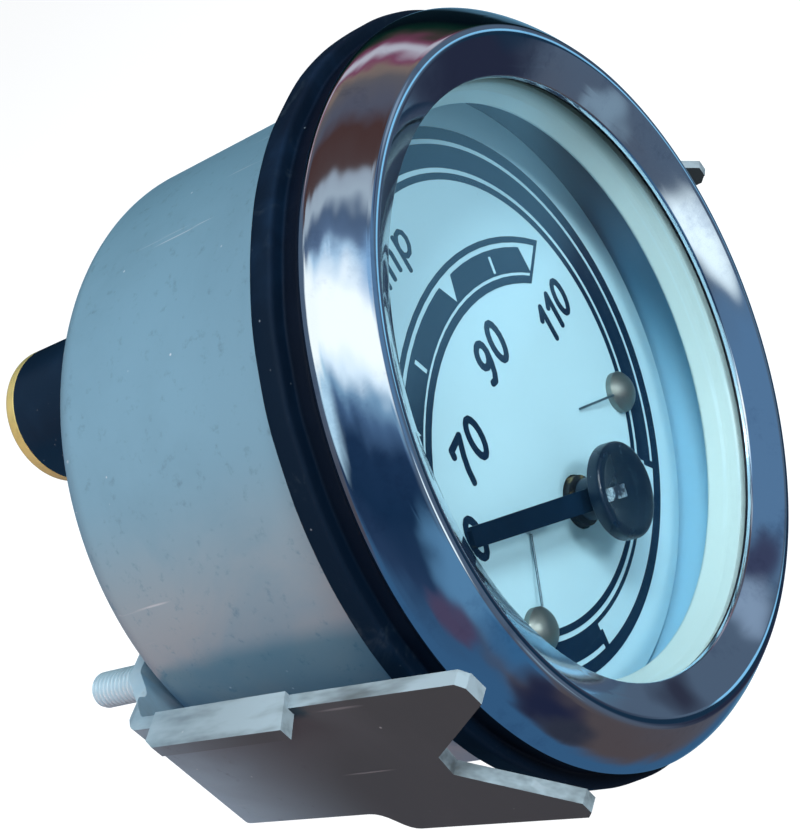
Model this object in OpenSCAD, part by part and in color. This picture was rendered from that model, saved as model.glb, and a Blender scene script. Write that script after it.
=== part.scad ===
// Panel-mounted electric temperature gauge with a clamp bracket and a plug-in lamp.
// The gauge axis lies along Y: the dial faces -Y, the dial's top is +Z and the can runs to +Y.
// The origin is on the gauge axis, in the plane where the rubber seal meets the panel.

/* [Case] */
// Outer diameter of the can, which fits the panel hole
case_d = 52; // [50:0.5:54]
// Sheet thickness of the can
case_wall = 0.8; // [0.6:0.1:1]
// Depth of the can behind the panel plane
case_depth = 24.6; // [24:0.1:27]
// Outer radius of the can's rounded rear edge
case_corner = 3; // [1.5:0.1:3.2]
// Width of the can's turned-out front flange beyond its barrel
case_flange = 1.1; // [0.9:0.1:1.2]

/* [Bezel] */
// Room between the can's flange and the bezel's side wall, on the radius
bezel_room = 0.65; // [0.5:0.05:1]
// Sheet thickness of the bezel
bezel_wall = 0.6; // [0.4:0.05:0.7]
// Distance of the bezel's front crest ahead of the panel plane
bezel_front = 7.15; // [6.9:0.05:8]
// Width of the glass that the bezel covers, from the can's inner wall
window_margin = 2.8; // [2.4:0.05:3.7]
// Radius of the bezel's rounded front crest
crest_r = 0.9; // [0.7:0.1:1.1]

/* [Panel seal] */
// Width of the seal's flange beyond the can, on the radius
seal_flange_w = 3.1; // [3:0.05:3.6]
// Thickness of the seal's flange that lies on the panel
seal_flange_t = 1.9; // [1.5:0.1:2.2]
// Width of the seal's narrower front step beyond the can, on the radius
seal_step_w = 2; // [1.5:0.05:2.2]
// Whole thickness of the seal, up to the bezel's rear lip
seal_t = 3.2; // [2.9:0.1:3.4]

/* [Glass and reflector] */
// Thickness of the glass
glass_t = 1.8; // [1.2:0.1:2]
// Thickness of the gasket between the glass and the bezel
gasket_t = 0.25; // [0.15:0.05:0.3]
// Width that the reflector ring covers at the dial side, from the can's inner wall
reflector_margin = 3.5; // [3.2:0.05:4]
// Depth of the reflector ring behind the glass
reflector_depth = 2.5; // [1.5:0.1:3]
// Wall of the reflector ring
reflector_wall = 0.8; // [0.5:0.1:1]

/* [Dial] */
// Distance from the panel plane back to the dial's face
dial_y = 3.9; // [3:0.1:4.2]
// Thickness of the dial plate
dial_t = 0.6; // [0.4:0.1:0.8]
// Width of the bare margin outside the outermost printed ring
print_margin = 3; // [1.8:0.1:3.8]
// Distance of the pointer's pivot from the can's lower inner wall
pivot_edge = 14.1; // [13.4:0.1:14.4]
// Diameter of the dial's hole round the pivot
pivot_hole_d = 4.4; // [3.8:0.1:4.8]
// Amount by which the scale's radius about the pivot falls short of the can's inner radius
scale_margin = 3.35; // [2.6:0.05:3.8]
// Height of the printed figures
figure_h = 3.6; // [3:0.1:4.2]

/* [Pointer] */
// Angle from the dial's vertical at which the pointer rests, to the left
rest_angle = 54.5; // [50:0.1:56]
// Length by which the pointer's arm reaches over the scale's inner line
arm_lap = 0.05; // [0:0.05:1.5]
// Width of the arm at its root
arm_root_w = 1.8; // [1.6:0.1:2.2]
// Width of the arm at its tip
arm_tip_w = 1.5; // [1:0.1:1.6]
// Thickness of the arm
arm_t = 0.4; // [0.2:0.05:0.5]
// Height of the arm's front face above the dial
arm_height = 2.4; // [2.2:0.1:2.6]
// Diameter of the hub's cap
cap_d = 7.7; // [6:0.1:8.4]
// Height of the cap's front above the dial
cap_height = 4.5; // [3.8:0.1:4.8]
// Diameter of the spindle
spindle_d = 1; // [0.8:0.1:1.2]
// Diameter of the bush's collar in the dial's hole
collar_d = 4.1; // [3.4:0.1:4.2]
// Height of that collar above the dial
collar_lift = 0.5; // [0.2:0.1:0.6]
// Running clearance round the spindle, on the radius
running_gap = 0.04; // [0.02:0.01:0.08]

/* [Stops] */
// Distance of each dial screw from the dial's vertical
screw_x = 13; // [12:0.1:14]
// Height of the middle between the dial screws above the pivot
screw_rise = -0.2; // [-0.6:0.1:1]
// Angle by which the line of the dial screws lies askew, right screw up
screw_tilt = 1.8; // [0:0.1:3]
// Diameter of a dial screw's domed head
screw_head_d = 3.5; // [3:0.1:4]
// Diameter of a stop wire
wire_d = 0.2; // [0.15:0.05:0.4]
// Radius about the pivot at which a stop wire ends
wire_tip_r = 8; // [7.6:0.1:8.6]

/* [Mounting] */
// Nominal thread diameter of the mounting studs
stud_d = 3; // [2.5:0.1:4]
// Distance of each stud in from the can's outer wall, across the dial
stud_inset = 7; // [6.6:0.1:7.4]
// Height of the left stud below the gauge axis, and of the right stud above it
stud_drop = 3.2; // [2:0.1:4]
// Distance of the studs' ends behind the panel plane
stud_end = 40; // [39:0.1:44]
// Depth of the plain waist between each stud's two threads
waist_depth = 0.2; // [0.1:0.05:0.3]
// Thickness of the nuts that hold the studs in the can
case_nut_t = 1.4; // [1:0.1:1.6]
// Width across the flats of those nuts
case_nut_af = 5.5; // [5:0.1:6]

/* [Clamp bracket] */
// Sheet thickness of the bracket
bracket_t = 1.05; // [0.8:0.05:1.2]
// Half the width of the bracket's legs at the prongs
prong_half_w = 7.05; // [6.4:0.05:7.4]
// Half the width of the bracket's crossbar
bar_half_w = 5; // [4:0.1:5.4]
// Angle by which the bracket lies turned about the gauge axis, right leg up
bracket_roll = 5.2; // [4.5:0.1:6.5]
// Angle by which the loose bracket lies askew, right leg further back
bracket_yaw = 3; // [0:0.1:3.2]
// Distance by which the loose bracket hangs below the gauge axis
bracket_drop = 0.6; // [0:0.1:0.8]
// Distance of the legs' outer faces beyond the seal's edge, at their rear bends
leg_room = 0.8; // [0.6:0.05:1.5]
// Outward slope of the legs towards their tips, in mm per mm
leg_flare = 0.085; // [0.05:0.005:0.09]
// Distance of the leg tips ahead of the panel plane
leg_reach = 6.6; // [6:0.05:9]
// Width of the stiffening flange on each leg's upper edge, beyond the leg's face
leg_flange = 1.95; // [1:0.05:3]
// Depth of the notch that leaves two prongs on each leg
notch_depth = 6.6; // [4:0.1:7.6]
// Amount by which the right leg's upper prong is shorter
short_prong = 4; // [0:0.1:4.5]
// Clearance of the studs in the bracket, on the radius
stud_gap = 0.4; // [0.2:0.05:0.6]
// Diameter of the knurled clamp nut
clamp_nut_d = 9; // [7:0.1:10]
// Thickness of the clamp nut
clamp_nut_t = 2.4; // [2:0.1:3]

/* [Lamp] */
// Diameter of the lamp holder
lamp_d = 12.1; // [11:0.1:12.6]
// Height of the lamp holder above the gauge axis
lamp_rise = 12.6; // [12.3:0.1:13.2]
// Distance of the lamp holder's rear end behind the panel plane
lamp_end = 43.7; // [38:0.1:45]
// Length of the brass ring on the holder's rear end
lamp_ring_t = 1.4; // [1:0.1:2]

/* [Hidden] */
$fn = 96;

// Cut allowance past a face
eps = 0.5;
// Small clearance between pieces that are assembled by hand
slip = 0.1;

// Case
case_r = case_d / 2;
case_in_r = case_r - case_wall;
flange_r = case_r + case_flange;
seal_face = -seal_t;
lip_front = seal_face - bezel_wall;
flange_front = lip_front - case_wall;
case_floor = case_depth - case_wall;

// Bezel and seal
bezel_r = flange_r + bezel_room + bezel_wall;
window_r = case_in_r - window_margin;
seal_r = case_r + seal_flange_w;
seal_step_r = case_r + seal_step_w;

// Glass stack, from the front to the rear
glass_front = flange_front - 0.3;
glass_rear = glass_front + glass_t;
glass_r = case_in_r - slip;
gasket_front = glass_front - gasket_t;
reflector_rear = glass_rear + reflector_depth;
reflector_r = case_in_r - reflector_margin;
reflector_seat = 0.6;

// Dial
pivot_drop = case_in_r - pivot_edge;
pivot = [0, -pivot_drop];
dial_r = case_in_r - 0.4;
print_r = dial_r - print_margin;
dial_rear = dial_y + dial_t;
print_t = 0.05;
mark_110 = -42.7;
mark_100 = -27.5;
mark_90 = -8.4;
mark_80 = 15;
mark_70 = 30.4;
mark_60 = 42.5;
mark_50 = 53.1;
scale_w = 3.9;
scale_r = case_in_r - scale_margin;
scale_in = scale_r - scale_w;
arm_length = scale_in + arm_lap;
end_line_w = 0.3;
line_out_w = 0.5;
gap_out_w = 0.4;
gap_in_w = 0.25;
line_in_w = 0.65;
field_line_w = 0.35;
cartouche_ends = [-22, 31];

// Movement
screw_z = -pivot_drop + screw_rise;
shield_room = 1.2;
shield_l = 12.6;
shield_rear = case_floor - shield_room;
plate_t = 1;
plate_rear = shield_rear - shield_l;
plate_front = plate_rear - plate_t;
post_r = 2.2;
bobbin_w = 14.4;
bobbin_front_y = plate_rear;
bobbin_room = 4;
bobbin_rear_y = shield_rear - bobbin_room;
bobbin_mid_y = (bobbin_front_y + bobbin_rear_y) / 2;
chamber_r = 5.6;
chamber_t = 4.4;
magnet_r = 5;
magnet_t = 3;
coil_t = 1;
coil_w = 3.4;
coil_off = 1.5;
shield_r = 11.7;
shield_t = 0.5;
bush_r = 1.5;

// Studs
stud_r = stud_d / 2;
stud_x = case_r - stud_inset;
stud_z = stud_drop;
case_nut_rear = case_depth + case_nut_t;
bar_room = 1.4;
bar_rear = case_nut_rear + bar_room + bracket_t;
waist_y = [case_nut_rear + 0.3, bar_rear + 0.15];
stud_tip = 0.6;
washer_r = clamp_nut_d / 2 - 0.5;
washer_front = (bar_rear + (stud_x + washer_r) * sin(bracket_yaw)) / cos(bracket_yaw) + 0.02;
washer_t = 0.6;
washer_rear = washer_front + washer_t;
nut_front = washer_rear + slip;

// Lamp
lamp_r = lamp_d / 2;
lamp_nose = 4.6;
lamp_front = case_depth - lamp_nose;
bulb_r = 4.6;
bulb_base_r = 4.4;
bulb_base_l = 8;
bulb_base_out = 1.2;
bulb_neck_l = 4.2;

// Turns a shape drawn about Z so that its axis lies along +Y, starting at y
module on_axis(y, x = 0, z = 0) {
    translate([x, y, z]) rotate([-90, 0, 0]) children();
}

// Turns a flat figure in x and z into a sheet that grows from y towards the front
module sheet_at(y, t) {
    translate([0, y, 0]) rotate([90, 0, 0]) linear_extrude(height = t) children();
}

// Tube along Y
module tube(r_out, r_in, y0, y1, x = 0, z = 0) {
    on_axis(y0, x, z) difference() {
        cylinder(r = r_out, h = y1 - y0);
        translate([0, 0, -eps]) cylinder(r = r_in, h = y1 - y0 + 2 * eps);
    }
}

// Rod along Y
module rod(r, y0, y1, x = 0, z = 0) {
    on_axis(y0, x, z) cylinder(r = r, h = y1 - y0);
}

// Ring turned from a section whose points are [radius, y]
module turned(points) {
    rotate([-90, 0, 0]) rotate_extrude() polygon(points);
}

// Points of an arc about c from angle a to angle b in n steps
function arc(c, r, a, b, n = 8) =
    [for (i = [0:n]) let (t = a + (b - a) * i / n) c + r * [cos(t), sin(t)]];

function unit(v) = v / norm(v);

// Points of a curve of three control points
function bend(p0, p1, p2, n = 8) =
    [for (i = [0:n]) let (t = i / n) p0 * (1 - t) * (1 - t) + p1 * 2 * t * (1 - t) + p2 * t * t];

// Point at an angle from the dial's vertical, positive to the left, about the pivot
function about_pivot(r, a) = pivot + r * [-sin(a), cos(a)];

// Band about the pivot between two radii and two angles
module band(r_in, r_out, a0, a1) {
    steps = 24;
    polygon(concat(
        [for (i = [0:steps]) about_pivot(r_out, a0 + (a1 - a0) * i / steps)],
        [for (i = [steps:-1:0]) about_pivot(r_in, a0 + (a1 - a0) * i / steps)]));
}

module ring_2d(r_out, r_in) {
    difference() {
        circle(r = r_out);
        circle(r = r_in);
    }
}

module case() {
    round_c = [case_r - case_corner, case_depth - case_corner];
    in_corner = case_corner - case_wall;
    color([0.62, 0.66, 0.68]) difference() {
        turned(concat(
            [[case_in_r, flange_front], [flange_r, flange_front], [flange_r, lip_front],
                [case_r, lip_front]],
            arc(round_c, case_corner, 0, 90),
            [[0, case_depth], [0, case_floor]],
            arc(round_c, in_corner, 90, 0)));
        // Lamp hole
        rod(lamp_r + slip, case_floor - eps, case_depth + eps, 0, lamp_rise);
        // Stud holes
        for (side = [-1, 1]) rod(stud_r + slip, case_floor - eps, case_depth + eps, side * stud_x, side * stud_z);
        // Terminal window
        translate([-insulator_neck_w / 2 - slip, case_floor - eps, terminal_z - insulator_neck_h / 2 - slip])
            cube([insulator_neck_w + 2 * slip, case_wall + 2 * eps, insulator_neck_h + 2 * slip]);
    }
}

// Bezel: a formed ring of one sheet, with its rear lip turned in behind the can's flange
module bezel() {
    shoulder = [bezel_r - 0.05, lip_front - 0.1];
    crest_c = [bezel_r - 3.05, -bezel_front + crest_r];
    side = [bezel_r - 0.6, -bezel_front + 1.85];
    side_in = [bezel_r - 0.9 - bezel_wall, -bezel_front + 1.15 + bezel_wall];
    outer = concat(
        [[case_r + 0.4, seal_face], [bezel_r - 0.5, seal_face]],
        bend([bezel_r - 0.5, seal_face], [bezel_r + 0.05, seal_face], shoulder, 4),
        bend(shoulder, side, crest_c + crest_r * [cos(60), -sin(60)], 8),
        arc(crest_c, crest_r, -60, -118, 6));
    inner_edge = [window_r, gasket_front];
    inner = concat(
        [[window_r, gasket_front - 0.35], inner_edge, [window_r + 1, gasket_front]],
        [crest_c + (crest_r - bezel_wall) * [cos(-118), sin(-118)]],
        arc(crest_c, crest_r - bezel_wall, -118, -60, 4),
        bend(crest_c + (crest_r - bezel_wall) * [cos(60), -sin(60)],
            side_in, [bezel_r - bezel_wall - 0.1, lip_front - 0.2], 6),
        [[bezel_r - bezel_wall - 0.1, lip_front], [case_r + 0.4, lip_front]]);
    color([0.85, 0.87, 0.9]) turned(concat(outer, inner));
}

// Stepped rubber seal that lies between the panel and the bezel
module panel_seal() {
    in_r = case_r + slip / 2;
    edge = 0.3;
    color([0.06, 0.06, 0.07]) turned([[in_r, 0], [seal_r - edge, 0], [seal_r, -edge],
        [seal_r, -seal_flange_t + edge], [seal_r - edge, -seal_flange_t], [seal_step_r, -seal_flange_t],
        [seal_step_r, seal_face + edge], [seal_step_r - edge, seal_face], [in_r, seal_face]]);
}

module lens_gasket() {
    color([0.05, 0.05, 0.05]) tube(glass_r, window_r + slip, gasket_front, glass_front);
}

module lens() {
    color([0.8, 0.9, 0.95, 0.3]) rod(glass_r, glass_front, glass_rear);
}

// Pale ring that spreads the lamp's light: a flange under the glass and a tapering skirt
module reflector_ring() {
    mouth_r = reflector_r + 1.2;
    seat_r = case_in_r - slip;
    color([0.9, 0.9, 0.8]) turned([[mouth_r, glass_rear], [seat_r, glass_rear],
        [seat_r, glass_rear + reflector_seat], [mouth_r + reflector_wall, glass_rear + reflector_seat],
        [reflector_r + reflector_wall, reflector_rear], [reflector_r, reflector_rear]]);
}

module dial_plate() {
    color([0.93, 0.94, 0.92]) difference() {
        rod(dial_r, dial_y, dial_rear);
        rod(pivot_hole_d / 2, dial_y - eps, dial_rear + eps, 0, -pivot_drop);
        for (side = [-1, 1])
            rod(screw_shank_r + slip, dial_y - eps, dial_rear + eps, screw_at(side)[0], screw_at(side)[1]);
    }
}

// Printed rings round the dial and the scale about the pivot
module dial_print() {
    outer_ring_w = 1;
    white_line_w = 0.4;
    thick_ring_w = 1.9;
    white_gap_w = 0.4;
    thin_line_w = 0.55;
    bar_w = 0.6;
    r1 = print_r - outer_ring_w;
    r2 = r1 - white_line_w;
    r3 = r2 - thick_ring_w;
    r4 = r3 - white_gap_w;
    r5 = r4 - thin_line_w;
    color([0.05, 0.05, 0.06]) sheet_at(dial_y, print_t) {
        difference() {
            ring_2d(print_r, r1);
            screw_clear();
        }
        difference() {
            ring_2d(r2, r3);
            cartouche(r2 + 0.1, r3 + field_line_w, 0);
            cartouche((r2 + r3) / 2, r3 + field_line_w, 1);
            screw_clear();
        }
        difference() {
            ring_2d(r4, r5);
            screw_clear();
        }
        // Stepped ends of the bare name field
        for (i = [0, 1]) rotate([0, 0, cartouche_ends[i]])
            translate([i == 0 ? -bar_w : 0, -r1 - 0.05]) square([bar_w, white_line_w + 0.1]);
        scale_print();
    }
}

// Place of a dial screw in x and z
function screw_at(side) = [side * screw_x * cos(screw_tilt), screw_z + side * screw_x * sin(screw_tilt)];

// Room for the dial screws' heads in the printed rings
module screw_clear() {
    for (side = [-1, 1]) translate(screw_at(side)) circle(r = screw_head_d / 2 + slip);
}

// Bare field in the thick ring at the dial's foot, longer by an angle at each end
module cartouche(r_out, r_in, longer) {
    steps = 16;
    a0 = cartouche_ends[0] - 90 - longer;
    a1 = cartouche_ends[1] - 90 + longer;
    polygon(concat(arc([0, 0], r_out, a0, a1, steps), arc([0, 0], r_in, a1, a0, steps)));
}

// Region past the scale's slanting right end, moved out by d
module past_end(d) {
    e_out = about_pivot(scale_r, -47.9);
    e_in = about_pivot(scale_in, -42.2);
    u = unit(e_out - e_in);
    n = [u[1], -u[0]];
    polygon([e_in - 3 * u + n * d, e_out + 3 * u + n * d, e_out + 3 * u + n * (d + 9), e_in - 3 * u + n * (d + 9)]);
}

// Scale band with its lines, ticks and triangles
module scale_print() {
    band_out = scale_r - line_out_w - gap_out_w;
    band_in = scale_in + line_in_w + gap_in_w;
    a0 = -52;
    a1 = mark_50 + 1.5;
    half = 3;
    difference() {
        union() {
            band(scale_r - line_out_w, scale_r, a0, a1);
            band(scale_in, scale_in + line_in_w, a0, a1);
            band(scale_in, scale_r, a1 - 0.8, a1);
        }
        past_end(0);
    }
    intersection() {
        band(scale_in, scale_r, a0, a1);
        difference() {
            past_end(-end_line_w);
            past_end(0);
        }
    }
    difference() {
        band(band_in, band_out, a0, a1 - 1.5);
        past_end(-end_line_w);
        for (a = [mark_50, mark_70, mark_90]) polygon([about_pivot(band_out + 0.1, a - half),
            about_pivot(band_out + 0.1, a + half), about_pivot(band_in + 0.15, a)]);
        polygon([about_pivot(band_out + 0.2, mark_110 - 9), about_pivot(band_out + 0.1, mark_110 + half),
            about_pivot(band_in + 0.15, mark_110)]);
        for (a = [mark_60, mark_80, mark_100]) band(band_in + 0.2, band_out - 0.5, a - 0.6, a + 0.6);
    }
}

// One straight stroke of a figure, leaning with the figures
module stroke(p, q, w) {
    d = q - p;
    translate(p) circle(r = w / 2);
    translate(q) circle(r = w / 2);
    translate(p) rotate([0, 0, atan2(d[1], d[0])]) translate([0, -w / 2]) square([norm(d), w]);
}

function lean(p) = [p[0] + p[1] * 0.2, p[1]];

// A figure as strokes through its points, in units of the figure's height
module path_figure(points, h, w) {
    for (i = [0:len(points) - 2]) stroke(lean(points[i] * h), lean(points[i + 1] * h), w);
}

function oval(cx, cy, rx, ry, a0, a1, n) =
    [for (i = [0:n]) let (t = a0 + (a1 - a0) * i / n) [cx + rx * cos(t), cy + ry * sin(t)]];

module digit(c, h, w) {
    if (c == 0) path_figure(oval(0.3, 0.5, 0.215, 0.415, 0, 360, 16), h, w);
    if (c == 1) path_figure([[0.1, 0.7], [0.3, 0.92], [0.3, 0.08]], h, w);
    if (c == 5) path_figure(concat([[0.48, 0.94], [0.14, 0.94], [0.1, 0.56]],
        oval(0.24, 0.34, 0.22, 0.28, 100, -140, 9)), h, w);
    if (c == 7) path_figure([[0.05, 0.8], [0.07, 0.92], [0.53, 0.92], [0.34, 0.6], [0.24, 0.34], [0.2, 0.08]], h, w);
    if (c == 9) path_figure(concat(oval(0.28, 0.67, 0.205, 0.245, 0, 360, 14),
        [[0.49, 0.62], [0.45, 0.4], [0.36, 0.2], [0.25, 0.09], [0.13, 0.12]]), h, w);
}

// Width that a figure takes along its number
function figure_w(c) = c == 1 ? 1.72 : 2.5;

// Start of figure i in a number
function figure_x(digits, i) = i == 0 ? 0 : figure_x(digits, i - 1) + figure_w(digits[i - 1]);

// A whole number made of figures, centred on a point of the dial
module number(digits, at, h) {
    w = h * 0.165;
    width = figure_x(digits, len(digits));
    translate(at - [width / 2 + 0.2, h / 2])
        for (i = [0:len(digits) - 1]) translate([figure_x(digits, i), 0]) digit(digits[i], h, w);
}

// Distance of each number's middle from the scale's inner line
gap_50 = 2.45;
gap_70 = 4.4;
gap_90 = 3.75;
gap_110 = 1.8;

// Figures of the scale, and the quantity's short name above it
module dial_figures() {
    word_drop = 8.6;
    long_number_h = figure_h - 0.25;
    word_h = 3;
    word_w = 0.4;
    arch = 1.13;
    color([0.05, 0.05, 0.06]) sheet_at(dial_y, print_t) {
        number([5, 0], about_pivot(scale_in - gap_50, mark_50 + 4.95), figure_h);
        number([7, 0], about_pivot(scale_in - gap_70, mark_70 - 2.25), figure_h);
        number([9, 0], about_pivot(scale_in - gap_90, mark_90 - 1.76), figure_h);
        number([1, 1, 0], about_pivot(scale_in - gap_110, mark_110 - 8.73), long_number_h);
        translate([-6.7, print_r - word_drop]) {
            path_figure([[0, 0.94], [0.62, 0.94]], word_h, word_w);
            path_figure([[0.31, 0.94], [0.31, 0.06]], word_h, word_w);
            translate([1.85, 0]) path_figure(concat([[0.05, 0.36]], oval(0.26, 0.36, 0.22, 0.3, 0, 320, 9)), word_h, word_w);
            translate([4.1, 0]) path_figure([[0.04, 0.06], [0.04, 0.68]], word_h, word_w);
            for (i = [0, 1]) translate([4.1 + i * arch, 0]) path_figure(concat([[0.04, 0.5]],
                oval(0.2, 0.48, 0.18, 0.2, 130, 0, 4), [[0.38, 0.06]]), word_h, word_w);
            translate([7.4, 0]) path_figure([[0.02, 0.68], [0.02, -0.2]], word_h, word_w);
            translate([7.4, 0]) path_figure(oval(0.27, 0.36, 0.24, 0.3, 0, 360, 10), word_h, word_w);
        }
    }
}

// Domed screws that hold the dial on its posts
screw_shank_r = 0.9;
screw_dome = 1.4;
screw_end = plate_front - 1.5;
module dial_screws() {
    head_r = screw_head_d / 2;
    skirt = 0.5;
    dome_r = (head_r * head_r + pow(screw_dome - skirt, 2)) / (2 * (screw_dome - skirt));
    color([0.7, 0.7, 0.68]) for (side = [-1, 1]) {
        at = screw_at(side);
        rod(screw_shank_r, dial_y, screw_end, at[0], at[1]);
        translate([at[0], 0, at[1]]) {
            rod(head_r, dial_y - skirt, dial_y);
            intersection() {
                translate([0, dial_y - screw_dome + dome_r, 0]) sphere(r = dome_r);
                rod(head_r, dial_y - screw_dome, dial_y - skirt);
            }
        }
    }
}

// Wire stops: each runs from under a screw's head and dips to the dial at the pointer's limit
wire_lift = 0.6;
module stop_wires() {
    head_r = screw_head_d / 2;
    wire_r = wire_d / 2;
    stop_angle = rest_angle + limit_lead;
    color([0.6, 0.6, 0.58]) for (side = [-1, 1]) {
        tip = [side * wire_tip_r * sin(stop_angle), dial_y - wire_r - slip / 2,
            -pivot_drop + wire_tip_r * cos(stop_angle)];
        base = [screw_at(side)[0], dial_y - wire_r - wire_lift, screw_at(side)[1]];
        run = tip - base;
        difference() {
            translate(base) rotate([0, acos(run[2] / norm(run)), atan2(run[1], run[0])])
                cylinder(r = wire_r, h = norm(run));
            rod(head_r, dial_y - screw_dome - eps, dial_y, base[0], base[2]);
        }
    }
}

// Posts that carry the dial on the movement plate
module dial_posts() {
    color([0.75, 0.68, 0.45]) for (side = [-1, 1])
        tube(post_r, screw_shank_r, dial_rear, plate_front, screw_at(side)[0], screw_at(side)[1]);
}

// Plate that carries the movement, hung on the studs
module movement_plate() {
    plate_r = case_in_r - 0.6;
    color([0.7, 0.72, 0.72]) difference() {
        rod(plate_r, plate_front, plate_rear);
        rod(lamp_r + 2, plate_front - eps, plate_rear + eps, 0, lamp_rise);
        rod(bush_r, plate_front - eps, plate_rear + eps, 0, -pivot_drop);
        for (side = [-1, 1]) {
            rod(stud_r, plate_front - eps, plate_rear + eps, side * stud_x, side * stud_z);
            rod(plate_screw_r, plate_front - eps, plate_rear + eps, side * plate_screw_x, -pivot_drop);
        }
    }
}

// Two screws that hold the bobbin to the plate
plate_screw_r = 0.8;
plate_screw_x = 6.3;
plate_screw_l = 4.4;
module plate_screws() {
    head_r = 1.5;
    head_t = 0.9;
    color([0.72, 0.66, 0.4]) for (side = [-1, 1]) {
        rod(plate_screw_r, plate_front, plate_front + plate_screw_l, side * plate_screw_x, -pivot_drop);
        rod(head_r, plate_front - head_t, plate_front, side * plate_screw_x, -pivot_drop);
    }
}

// Bearing bush of the spindle, whose collar stands out of the dial's hole
module front_bush() {
    color([0.78, 0.62, 0.3]) difference() {
        union() {
            rod(collar_d / 2, dial_y - collar_lift, plate_front, 0, -pivot_drop);
            rod(bush_r, plate_front, bobbin_front_y, 0, -pivot_drop);
        }
        rod(spindle_d / 2 + running_gap, dial_y - collar_lift - eps, bobbin_front_y + eps, 0, -pivot_drop);
    }
}

// Half of the bobbin round the magnet's chamber
module bobbin_half(y0, y1, chamber_y0, chamber_y1) {
    color([0.85, 0.82, 0.7]) difference() {
        translate([-bobbin_w / 2, y0, -pivot_drop - bobbin_w / 2]) cube([bobbin_w, y1 - y0, bobbin_w]);
        rod(chamber_r, chamber_y0, chamber_y1, 0, -pivot_drop);
        rod(spindle_d / 2 + 0.3, y0 - eps, y1 + eps, 0, -pivot_drop);
        for (side = [-1, 1]) rod(plate_screw_r, bobbin_front_y - eps, plate_front + plate_screw_l,
            side * plate_screw_x, -pivot_drop);
    }
}

module bobbin_front() {
    bobbin_half(bobbin_front_y + winding_room, bobbin_mid_y, bobbin_mid_y - chamber_t / 2, bobbin_mid_y + eps);
    color([0.85, 0.82, 0.7]) for (side = [-1, 1])
        tube(plate_screw_r + 0.5, plate_screw_r, bobbin_front_y, bobbin_front_y + winding_room,
            side * plate_screw_x, -pivot_drop);
}

module bobbin_rear() {
    bobbin_half(bobbin_mid_y, bobbin_rear_y - winding_room, bobbin_mid_y - eps, bobbin_mid_y + chamber_t / 2);
}

winding_room = 2 * coil_t + 0.1;

// One loop of a winding round the bobbin: a rectangular frame, drawn in x and y
module loop_frame(inner_w, inner_t) {
    difference() {
        square([inner_w + 2 * coil_t, inner_t + 2 * coil_t], center = true);
        square([inner_w, inner_t], center = true);
    }
}

// Winding whose loops stand upright, one each side of the spindle
module upright_coil() {
    inner_t = bobbin_rear_y - bobbin_front_y - 2 * winding_room + 0.04;
    color([0.6, 0.3, 0.15]) for (side = [-1, 1])
        translate([side * (coil_off + coil_w / 2), bobbin_mid_y, -pivot_drop]) rotate([0, 90, 0])
            translate([0, 0, -coil_w / 2]) linear_extrude(height = coil_w)
                loop_frame(bobbin_w + 0.04, inner_t);
}

// Winding whose loops lie level, over the upright ones
module level_coil() {
    inner_t = bobbin_rear_y - bobbin_front_y - 2 * winding_room + 2 * coil_t + 0.08;
    color([0.6, 0.3, 0.15]) for (side = [-1, 1])
        translate([0, bobbin_mid_y, -pivot_drop + side * (coil_off + coil_w / 2)])
            translate([0, 0, -coil_w / 2]) linear_extrude(height = coil_w)
                loop_frame(bobbin_w + 0.04, inner_t);
}

// Cup that screens the movement from outside fields
module shield_can() {
    color([0.66, 0.68, 0.7]) difference() {
        rod(shield_r, plate_rear, shield_rear, 0, -pivot_drop);
        rod(shield_r - shield_t, plate_rear - eps, shield_rear - shield_t, 0, -pivot_drop);
        rod(bearing_r, shield_rear - shield_t - eps, shield_rear + eps, 0, -pivot_drop);
    }
}

// Rear bearing of the spindle, held in the shield's floor
bearing_r = 1.6;
bearing_front = bobbin_rear_y + 0.4;
module rear_bearing() {
    color([0.78, 0.62, 0.3]) difference() {
        rod(bearing_r, bearing_front, shield_rear + 0.6, 0, -pivot_drop);
        rod(spindle_d / 2 + running_gap, bearing_front - eps, spindle_rear + slip, 0, -pivot_drop);
    }
}

spindle_rear = bearing_front + 2.4;
spindle_cover = 0.5;
spindle_front = dial_y - cap_height + spindle_cover;

module pointer_spindle() {
    color([0.7, 0.72, 0.74]) rod(spindle_d / 2, spindle_front, spindle_rear, 0, -pivot_drop);
}

module rotor_magnet() {
    color([0.25, 0.25, 0.27]) tube(magnet_r, spindle_d / 2, bobbin_mid_y - magnet_t / 2,
        bobbin_mid_y + magnet_t / 2, 0, -pivot_drop);
}

// Angle that the pointer's centre keeps from a stop wire's tip
limit_lead = 8.5;
hub_r = 1.7;
hub_gap = 0.25;
hub_rear = dial_y - collar_lift - hub_gap;
cap_t = 1.2;
edge_r = 0.5;
cap_front = dial_y - cap_height;
arm_front = dial_y - arm_height;

// Moulded hub: a stem on the spindle and a wide cap with a rounded edge
module pointer_hub() {
    cap_r = cap_d / 2;
    color([0.05, 0.06, 0.08]) {
        difference() {
            union() {
                rod(hub_r, cap_front + cap_t, hub_rear, 0, -pivot_drop);
                translate([0, 0, -pivot_drop]) turned(concat([[0, cap_front]],
                    arc([cap_r - edge_r, cap_front + edge_r], edge_r, -90, 0, 6),
                    [[cap_r, cap_front + cap_t], [0, cap_front + cap_t]]));
            }
            rod(spindle_d / 2, spindle_front, hub_rear + eps, 0, -pivot_drop);
            pointer_frame() translate([-arm_root_w / 2, arm_front, 0])
                cube([arm_root_w, arm_t, hub_r + eps]);
        }
    }
}

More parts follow.
